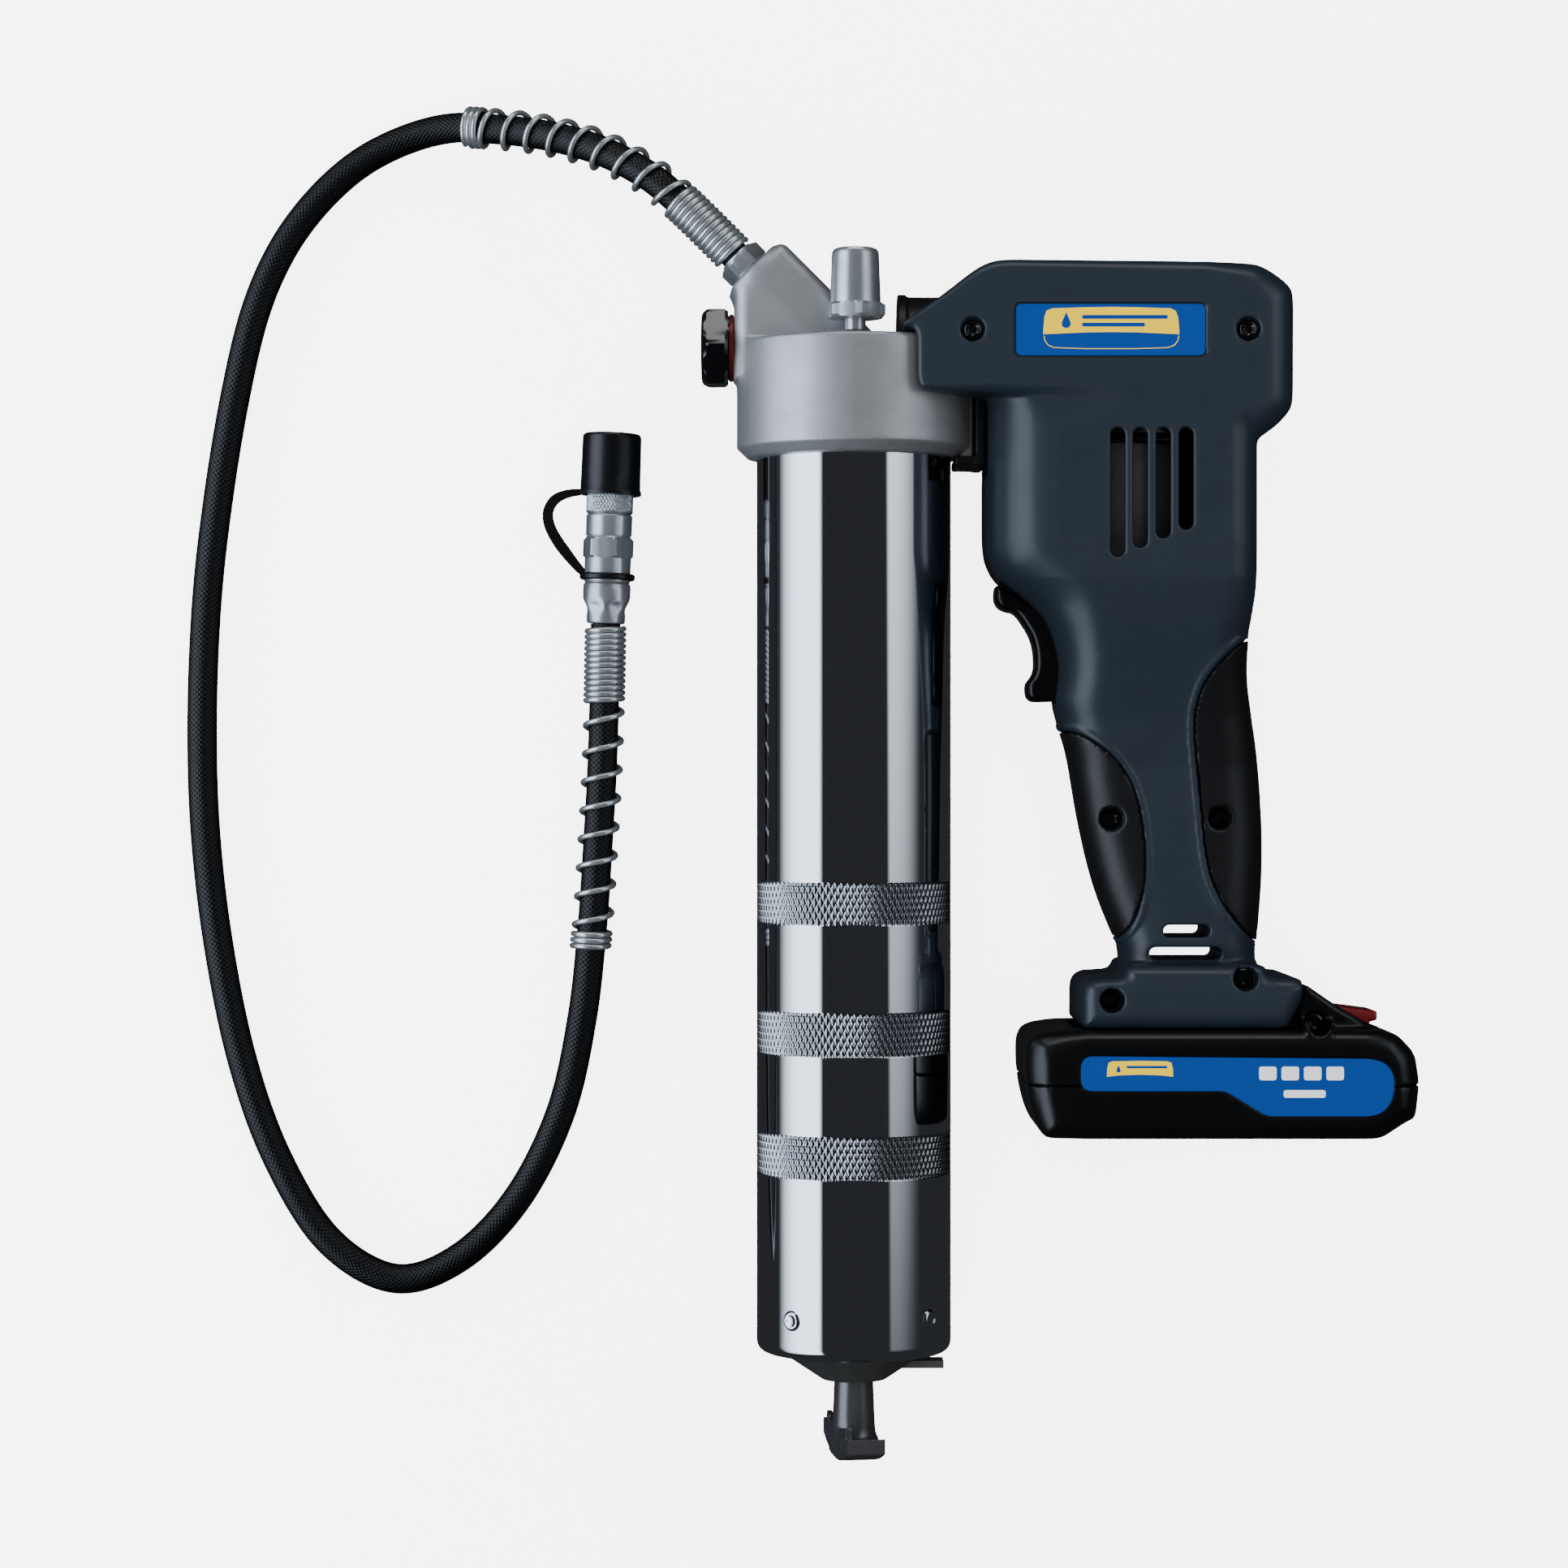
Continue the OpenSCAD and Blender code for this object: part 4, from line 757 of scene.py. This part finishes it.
def half_shell(front):
    """The skin of one shell, drawn with the viewer's side as +Z."""
    low, high, cell = (10, -169, -1.2), (128, 55, 35.6), 0.5
    x, y, z = lattice(low, high, cell)
    body = housing_body(x, y, z)
    pads = [to_outline(x, y, soften(edge)) for edge in (finger_edge, palm_edge)]
    soft = np.minimum(*pads)
    on_grip = drum_body(x, y, z)
    bead = np.maximum(on_grip - 0.45, np.abs(soft - 1.1) - 0.8)
    body = join(body, np.maximum(bead, np.abs(y + 99) - 44), 0.9)
    shell = np.maximum(body, -(body + wall))
    wells = [(p, bay_half - 2.6, 3.4) for p in bay_screws] + [(p, grip_half - 6.8, 3.35) for p in grip_screws]
    wells += [(p, foot_half - 8, 3.5) for p in foot_screws]
    for p, _, radius in wells:
        post = np.hypot(x - p[0], y - p[1]) - radius - 1.7
        shell = np.minimum(shell, np.maximum(post, body))
    for at_x, at_y, reach in strap_slots:
        tube = slot_distance(x, y, (at_x, at_y), reach - 1.75, 1.75)
        shell = np.minimum(shell, np.maximum(tube - 1.8, body))
        shell = cut(shell, tube, 1.2)
    if front:
        for p, sink, radius in wells:
            shell = cut(shell, np.maximum(np.hypot(x - p[0], y - p[1]) - radius, sink - z), 0.9)
    for at_x, bottom in vents:
        middle, reach = (4.6 + bottom) / 2, (4.6 - bottom) / 2 - 2
        vent = np.hypot(x - at_x, np.maximum(np.abs(y - middle) - reach, 0)) - 2
        shell = cut(shell, np.maximum(vent, 18 - z), 1.1)
    mid = [(a + b) / 2 for a, b in zip(badge_low, badge_high)]
    half = [(b - a) / 2 - 1.6 for a, b in zip(badge_low, badge_high)]
    recess = np.hypot(np.maximum(np.abs(x - mid[0]) - half[0], 0),
                      np.maximum(np.abs(y - mid[1]) - half[1], 0)) - 1.6
    shell = cut(shell, np.maximum(recess, bay_half - 0.8 - z), 0.7)
    shell = cut(shell, np.maximum(np.hypot(x, z) - 34.85, y - (rim_offset + 34.5)), 0.6)
    shell = cut(shell, block_at(x, y, z, (10, 44), (-7.6, 48), 16), 0.5)
    shell = cut(shell, block_at(x, y, z, *trigger_opening), 0.5)
    groove = np.maximum(np.maximum(np.abs(soft - 0.1) - 0.3, -(on_grip + 0.8)), 5 - z)
    shell = cut(shell, np.maximum(groove, np.abs(y + 99) - 45.05), 0.3)
    pad_cut = np.maximum(np.maximum(on_grip - 1.2, -(on_grip + 3.4)), soft + 0.08)
    shell = cut(shell, np.maximum(pad_cut, np.abs(y + 99) - 45.05), 0.4)
    shell = cut(shell, block_at(x, y, z, (68, 140), (-168, -163.8), 24.3), 0.3)
    shell = cut(shell, block_at(x, y, z, (86, 103), (-170, -160), 11), 0.3)
    seam = np.maximum(z - 0.35, -(body + 0.4))
    shell = np.maximum(cut(shell, seam, 0.2), 0.04 - z)
    return skin(shell, low, cell, even=0.01)


rim_offset = (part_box("head_casting")[0].y - AXIS[1]) * 1000
nylon = finish("housing_nylon", (0.0118, 0.0180, 0.0255), 0.36, speckle=0.1, grain=0.42, grain_mm=0.55,
               depth_mm=0.02, rough_spread=0.05)
piece("front_housing_shell", *half_shell(True), "gun_body", "housing_plastic", nylon, ["front_shell"])
points, faces = half_shell(False)
points[:, 2] *= -1
piece("rear_housing_shell", points, [f[::-1] for f in faces], "gun_body", "housing_plastic", nylon,
      ["rear_shell"])

# ---------------------------------------------------------------------------------------
# The soft pads of the grip, black rubber moulded over the shells at the finger side and
# at the palm, level with the plastic and set off from it by a fine groove.
pad_rubber = finish("pad_rubber", (0.0036, 0.0036, 0.0042), 0.42, speckle=0.2, grain=0.75, grain_mm=0.6,
                    depth_mm=0.06, rough_spread=0.05)
for name, node, edge, span in (("finger_side_pad", "finger_grip", finger_edge, (56, 88)),
                               ("palm_side_pad", "palm_grip", palm_edge, (96, 121))):
    low, high, cell = (span[0], -145, -29.2), (span[1], -53, 29.2), 0.5
    x, y, z = lattice(low, high, cell)
    on_grip = drum_body(x, y, z)
    pad = np.maximum(np.maximum(on_grip - 0.3, -(on_grip + 3.2)), to_outline(x, y, soften(edge)) + 0.15)
    pad = np.maximum(pad, np.abs(y + 99) - 44.95)
    for p in grip_screws:
        pad = cut(pad, np.hypot(x - p[0], y - p[1]) - 3.45, 0.9)
    pad = cut(pad, block_at(x, y, z, *trigger_opening), 0.5)
    piece(name, *skin(pad, low, cell, even=0.01), "gun_body", "grip_rubber", pad_rubber, [node])

# ---------------------------------------------------------------------------------------
# The screws: black pan heads with a six-lobed recess, two seen in the block's face and
# the others at the bottom of the wells in the grip and the foot.
black_screw = finish("black_screw", (0.002, 0.002, 0.0022), 0.22, metal=0.0, speckle=0.2, grain=0.2, coat=0.5)


def lobes(radii, heights, angle):
    inner = (radii > 0.2) & (radii < 1.75) & (heights < 1.9)
    return np.where(inner, radii * (1 + 0.16 * np.cos(6 * angle)), radii)


def pan_screws(name, node, spots, body):
    profile = [(0.5, 0), (0.5, 1.1), (0.7, 1.35), (1.4, 1.5), (1.68, 1.75), (1.6, 2.2), (1.2, 2.72),
               (0.6, 3.0), (0.05, 3.05), (0, 2.9), (0, 1.5)]
    all_points, all_faces = [], []
    for at_x, at_y, seat, tail in spots:
        points, faces = turned(profile + [(tail - seat, 1.45), (tail - seat, 0)], sides=48, shape=lobes)
        all_faces += [[v + len(points) * len(all_points) for v in f[::-1]] for f in faces]
        all_points.append(points + (at_x, at_y, seat))
    piece(name, np.vstack(all_points), all_faces, body, "screw_black", black_screw, [node])


spots = [(*bay_screws[0], bay_half - 2.55, 10.0), (*bay_screws[1], bay_half - 2.55, -30.5)]
spots += [(*p, grip_half - 6.7, -14) for p in grip_screws] + [(*p, foot_half - 7.9, -27) for p in foot_screws]
pan_screws("housing_screws", "shell_screws", spots, "gun_body")

# ---------------------------------------------------------------------------------------
# The badge in each side of the block: a printed panel, dark blue with a yellow shield on
# which stand a plain drop and two plain bars. There is no lettering.
def printed(name, color):
    made = finish(name, color, 0.4, speckle=0.03)
    made.node_tree.nodes["Principled BSDF"].inputs["Specular IOR Level"].default_value = 0.12
    return made


print_blue = printed("print_blue", (0.0001, 0.042, 0.235))
print_yellow = printed("print_yellow", (1, 0.66, 0.0001))
print_pale = printed("print_pale", (0.86, 0.88, 0.9))


def rounded_box(low, high, radius, steps=5):
    """A rectangle's outline with round corners, from its lowest and highest corners."""
    out = []
    for k, (cx, cy) in enumerate([(high[0] - radius, high[1] - radius), (low[0] + radius, high[1] - radius),
                                  (low[0] + radius, low[1] + radius), (high[0] - radius, low[1] + radius)]):
        for a in np.radians(np.linspace(90 * k, 90 * k + 90, steps)):
            out.append((cx + radius * math.cos(a), cy + radius * math.sin(a)))
    return out


def layers(name, body, slot, replaced, stack, face):
    """Thin printed layers on both faces. The stack holds (outline, bottom, top, material)."""
    points, faces, paints, kinds = [], [], [], []
    for side in (1, -1):
        for outline, bottom, top, material in stack:
            n, first = len(outline), len(points)
            for level in (bottom, top):
                points += [(px, py, side * (face + level)) for px, py in outline]
            if material not in kinds:
                kinds.append(material)
            new = [list(range(first + n, first + 2 * n)), list(range(first, first + n))[::-1]]
            new += [[first + k, first + (k + 1) % n, first + n + (k + 1) % n, first + n + k]
                    for k in range(n)]
            faces += [f if side > 0 else f[::-1] for f in new]
            paints += [kinds.index(material)] * len(new)
    made = piece(name, np.array(points), faces, body, slot, kinds[0], replaced, crease=20)
    for material in kinds[1:]:
        made.data.materials.append(material)
    made.data.polygons.foreach_set("material_index", paints)


def drop(cx, cy, size):
    """A drop's outline, its point upwards."""
    out = [(cx, cy + 1.25 * size)]
    for a in np.radians(np.arange(150, 391, 12)):
        out.append((cx + 0.62 * size * math.cos(a), cy - 0.3 * size + 0.62 * size * math.sin(a)))
    return out


shield = [(53.5, 33), (53.4, 31.2), (58, 31.4), (66, 31.75), (73, 31.85), (80, 31.75), (88, 31.4),
          (92.3, 31.2), (92.2, 33), (91.9, 36.2), (91.2, 37.9), (89.8, 38.6), (80, 38.9), (73, 39),
          (66, 38.9), (56, 38.6), (54.4, 37.9), (53.8, 36.2)]
lobe_line = [(92.2, 30.8), (92, 29.4), (91, 28), (89, 27.3), (80, 27), (65, 27), (56.5, 27.3), (54.8, 28),
             (53.8, 29.4), (53.6, 30.8), (53.8, 30.8), (54, 29.5), (54.9, 28.2), (56.6, 27.5), (65, 27.2),
             (80, 27.2), (88.9, 27.5), (90.8, 28.2), (91.8, 29.5), (92, 30.8)]
panel = rounded_box((45.75, 25.25), (99.65, 39.85), 1.4)
layers("block_badges", "gun_body", "badge_blue", ["side_badges"],
       [(panel, -0.78, -0.3, print_blue), (shield, -0.35, -0.24, print_yellow),
        (lobe_line, -0.35, -0.24, print_yellow), (drop(60, 34.9, 2.1), -0.3, -0.2, print_blue),
        (rounded_box((64.5, 35.6), (89, 36.7), 0.5), -0.3, -0.2, print_blue),
        (rounded_box((64.5, 33.4), (82.5, 34.5), 0.5), -0.3, -0.2, print_blue)], bay_half)

# ---------------------------------------------------------------------------------------
# The trigger, a smooth black paddle hollowed for the finger, which slides into the grip.
gloss_plastic = finish("trigger_gloss", (0.0018, 0.0018, 0.002), 0.24, speckle=0.2, grain=0.12, grain_mm=0.8,
                       depth_mm=0.01)
trigger_outline = [(41.7, -38.7), (41.2, -40.1), (41.1, -43.5), (42.4, -45.6), (44.9, -46.7),
                   (46.3, -46.7), (48, -48), (51.6, -53.6), (52.8, -58), (53, -63), (52.3, -65.4),
                   (50.6, -67.3), (50.3, -68.8), (50.5, -71.3), (51.3, -72.4), (52.5, -73.1),
                   (62, -72.8), (63, -60), (60, -48.6), (53, -44.4), (47, -41.4)]
low, high, cell = (40, -74.2, -9), (64, -37.8, 9), 0.34
x, y, z = lattice(low, high, cell)
paddle = plate(to_outline(x, y, soften(trigger_outline, 2)), z, 8, 2.4)
piece("trigger_paddle", *skin(paddle, low, cell), "trigger", "trigger_plastic", gloss_plastic, ["trigger"])

# ---------------------------------------------------------------------------------------
# The battery: a tray and a lid of black nylon, with the tower that carries the latch, two
# rails on top, and a printed label in a shallow recess on each side.
battery_outline = [(54, -198.8), (51.5, -193.5), (49.8, -187), (49, -180), (49, -173), (50.5, -169.8),
                   (53.5, -168.4), (60, -167.6), (126, -167.6), (139, -167.6), (150.6, -167.6),
                   (155.1, -168.6), (160.6, -174.2), (161.9, -182.8), (160.8, -193), (158.3, -194),
                   (150.5, -198.8)]
tower_outline = [(124.4, -169.6), (124.4, -167.6), (129.8, -155.9), (130.6, -155.2), (139.6, -161.4),
                 (150.6, -167.6), (151, -169.6)]
label_outline = [(64.2, -176.6), (66, -174.8), (147, -175.5), (151, -176.6), (153.3, -179.6),
                 (153.7, -183.5), (152.9, -187.5), (150.6, -190.7), (147, -191.9), (117.3, -191.9),
                 (105.6, -184.7), (66, -184.7), (64.2, -183)]
tower_screw = (132.6, -165.9)
seam = (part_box("battery_tray")[1].y - AXIS[1]) * 1000
battery_black = finish("battery_nylon", (0.0013, 0.0014, 0.0016), 0.33, speckle=0.2, grain=0.4,
                       grain_mm=0.55, depth_mm=0.02, rough_spread=0.05)
low, high, cell = (47.5, -200.4, -35.6), (163.5, -153.8, 35.6), 0.5
x, y, z = lattice(low, high, cell)
turn = np.interp(x, [52, 66, 146, 160], [8.5, 4.5, 4.5, 8]).astype(np.float32)
pack = plate(eased(to_outline(x, y, soften(battery_outline, 2.5)), 0.5, 3), z, bay_half, turn)
tower = plate(to_outline(x, y, tower_outline), z, 22, 2)
boss = np.maximum(np.hypot(x - tower_screw[0], y - tower_screw[1]) - 4.5, np.abs(z - 16) - 17.6)
pack = join(join(pack, tower, 2.5), np.maximum(boss, pack - 3), 0.8)
inside = np.maximum(pack + 2.5, y + 172)
case = np.maximum(pack, -inside)
well = np.hypot(x - tower_screw[0], y - tower_screw[1])
case = cut(case, np.maximum(well - 3.1, 20.2 - z), 0.7)
label = to_outline(x, y, soften(label_outline, 2))
case = cut(case, np.maximum(label - 0.15, bay_half - 0.45 - np.abs(z)), 0.3)
case = cut(case, block_at(x, y, z, (64, 122), (-171, -161), 17), 0.5)
case = cut(case, block_at(x, y, z, (139.4, 150.8), (-176, -156), 11.2), 0.8)
case = cut(case, block_at(x, y, z, (149.8, 152.8), (-169.6, -156.4), 11.2), 0.3)
rails = block_at(x, y, np.abs(z) - 21, (70, 120), (-168, -164), 3)
case = np.minimum(case, rails)
line = np.maximum(np.abs(y - seam) - 0.3, -(pack + 0.35))
case = cut(case, line, 0.3)
for name, node, part in (("battery_lower_tray", "battery_tray", y - seam + 0.04),
                         ("battery_upper_lid", "battery_lid", seam + 0.04 - y)):
    piece(name, *skin(np.maximum(case, part), low, cell, even=0.01), "battery", "battery_plastic",
          battery_black, [node])
pan_screws("battery_tower_screw", "battery_screws", [(*tower_screw, 20.05, -12)], "battery")

small_shield = [(71.7, -178.3), (71.6, -180.6), (75, -180.2), (81, -180), (87, -180.2), (90.5, -180.6),
                (90.4, -178.3), (90, -176.6), (88.8, -176.2), (81, -176.05), (73.3, -176.2), (72.1, -176.6)]
stack = [(soften(label_outline, 2), -0.43, -0.08, print_blue), (small_shield, -0.1, -0.03, print_yellow),
         (drop(74.9, -178.5, 1.0), -0.06, -0.01, print_blue),
         (rounded_box((77.2, -178.2), (88.8, -177.5), 0.3), -0.06, -0.01, print_blue)]
stack += [(rounded_box((115 + 6.4 * k, -181.6), (120 + 6.4 * k, -177.7), 0.7), -0.1, -0.03, print_pale)
          for k in range(4)]
stack += [(rounded_box((122, -186.6), (134, -184.4), 0.7), -0.1, -0.03, print_pale)]
layers("battery_side_labels", "battery", "badge_blue", ["battery_labels"], stack, bay_half)

# ---------------------------------------------------------------------------------------
# The red button that lets the battery go, moulded with three finger ribs.
button_red = finish("button_red", (0.13, 0.0014, 0.0026), 0.3, speckle=0.1, grain=0.2, grain_mm=0.6,
                    depth_mm=0.01)
button_outline = [(139.8, -171.4), (139.8, -161.7), (152.3, -163.3), (152.3, -165.9), (150.2, -166.4),
                  (150.2, -171.4)]
low, high, cell = (138.6, -172.4, -11.8), (153.5, -160.4, 11.8), 0.3
x, y, z = lattice(low, high, cell)
button = plate(to_outline(x, y, button_outline), z, 10.8, 0.9)
top_face = -161.7 - (x - 139.8) * 0.128
for rib in (142.6, 145, 147.4):
    button = cut(button, np.maximum(np.hypot(x - rib, y - top_face - 0.3) - 0.8, np.abs(z) - 9.3), 0.3)
button = cut(button, np.maximum(np.maximum(np.abs(x - 145) - 3, y + 168), np.abs(z) - 6), 0.3)
piece("battery_release_button", *skin(button, low, cell), "release", "button_red", button_red,
      ["release_button"])

# ---------------------------------------------------------------------------------------
# The adapter between the pump head and the gearbox, dark nylon: a round flange in front of
# the head, a block inside the housing, and a hook under the head's lug, which is painted shade:
# a dark piece put where the shade falls between the ring and the housing.
# This dark nylon also colours the hook, where it is painted shade.
adapter_nylon = finish("adapter_nylon", (0.0022, 0.0026, 0.003), 0.42, speckle=0.2, grain=0.4, grain_mm=0.6,
                       depth_mm=0.02)
low, high, cell = (10.5, -9, -16.8), (47.5, 48.4, 16.8), 0.4
x, y, z = lattice(low, high, cell)
from_bore = np.hypot(y - 31, z)
above_ring = rim_offset + 34.1 - y
flange = np.maximum(np.maximum(from_bore - 15.6, np.abs(x - 13.9) - 1.2), above_ring)
neck = np.maximum(np.maximum(from_bore - 14.9, np.abs(x - 26) - 11), above_ring)


def brick(low_corner, high_corner, edge=0.6):
    """A box with round edges."""
    away = [np.abs(v - (a + b) / 2) - (b - a) / 2 + edge
            for v, a, b in zip((x, y, z), low_corner, high_corner)]
    outside = np.sqrt(sum(np.maximum(v, 0) ** 2 for v in away))
    return outside + np.minimum(np.maximum(np.maximum(away[0], away[1]), away[2]), 0) - edge


adapter = join(join(flange, neck, 1.2), brick((35.2, 15.6, -15), (43.8, 46.6, 15)), 1)
# The hook is painted shade: a dark piece over the head's lug, where the shade falls between the ring and the
# housing.
shade_hook = join(brick((35.2, rim_offset - 2.7, -14), (38, 16, 14)),
            brick((29.2, rim_offset - 2.7, -14), (38, rim_offset - 0.2, 14)), 1)
adapter = np.minimum(np.minimum(adapter, shade_hook), np.maximum(from_bore - 7.4, np.abs(x - 44.8) - 1.2))
adapter = cut(adapter, np.maximum(from_bore - 4.4, np.abs(x - 30) - 20), 0.3)
piece("drive_adapter_block", *skin(adapter, low, cell), "gun_body", "adapter_nylon", adapter_nylon,
      ["drive_adapter"])

# ---------------------------------------------------------------------------------------
# The springs that shorten as something moves: the follower's long spring in the barrel, and
# the short ones behind the trigger and under the release button. Round steel wire.
def wound_spring(name, node, body, along, wire, turns, fixed_high):
    """A coil that fills its node's box."""
    low, high = [(np.array(corner) - AXIS) * 1000 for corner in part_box(node)]
    axes = [along, (along + 1) % 3, (along + 2) % 3]
    radius = (high - low)[axes[1]] / 2 - wire
    share = np.linspace(0, 1, int(turns * 20))
    line = np.zeros((len(share), 3))
    line[:, axes[0]] = low[along] + wire + (high - low - 2 * wire)[along] * share
    for axis, wave in zip(axes[1:], (np.cos, np.sin)):
        line[:, axis] = (low + high)[axis] / 2 + radius * wave(2 * math.pi * turns * share)
    coil = piece(name, *swept(line, wire, 8), body, "spring_steel", spring_wire, [node], crease=60)
    anchor = (low + high) / 2
    anchor[along] = (high if fixed_high else low)[along]
    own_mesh(coil)


wound_spring("follower_coil", "follower_spring", "barrel", 1, 0.9, 24, False)
wound_spring("trigger_coil", "trigger_spring", "gun_body", 0, 0.4, 7, True)
wound_spring("release_coil", "release_spring", "battery", 1, 0.4, 5, False)

# ---------------------------------------------------------------------------------------
# The parts inside keep their plain shapes: steel gears and crank, the wound rotor in its
# can, springs, seals, the switch, the terminals, the cells, and the coupler's jaws.
gear_steel = finish("gear_steel", (0.42, 0.42, 0.43), 0.3, metal=1, speckle=0.3, grain=0.2)
can_steel = finish("can_steel", (0.06, 0.062, 0.066), 0.4, metal=0.6, speckle=0.3, grain=0.3)
winding = finish("copper_winding", (0.40, 0.12, 0.05), 0.35, metal=0.9, speckle=0.4, grain=0.6)
cell_wrap = finish("cell_wrap", (0.05, 0.30, 0.12), 0.35, speckle=0.1, grain=0.1)
ground_rod = finish("ground_rod", (0.45, 0.46, 0.48), 0.18, metal=1, speckle=0.2, grain=0.15,
                    streak=(1, 0.1, 1))
inner_plastic = finish("inner_plastic", (0.02, 0.02, 0.022), 0.45, speckle=0.2, grain=0.3)
for material, nodes in (
        (gear_steel, ["crank_yoke", "planet_carrier", "planet_gear_1", "planet_gear_2", "planet_gear_3",
                      "ring_gear", "motor_pinion", "coupler_jaws"]),
        (can_steel, ["motor_can"]), (winding, ["motor_rotor"]), (cell_wrap, ["battery_cells"]),
        (ground_rod, ["follower_rod", "plunger", "crank_roller", "check_ball", "follower_plate"]),
        (spring_wire, ["check_spring"]),
        (black_rubber, ["barrel_gasket", "follower_cup", "plunger_seal"]),
        (inner_plastic, ["trigger_switch", "terminal_block"]),
        (black_satin, ["barrel_end_cap", "rod_latch"])):
    for node in nodes:
        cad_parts[node].data.materials.clear()
        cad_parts[node].data.materials.append(material)
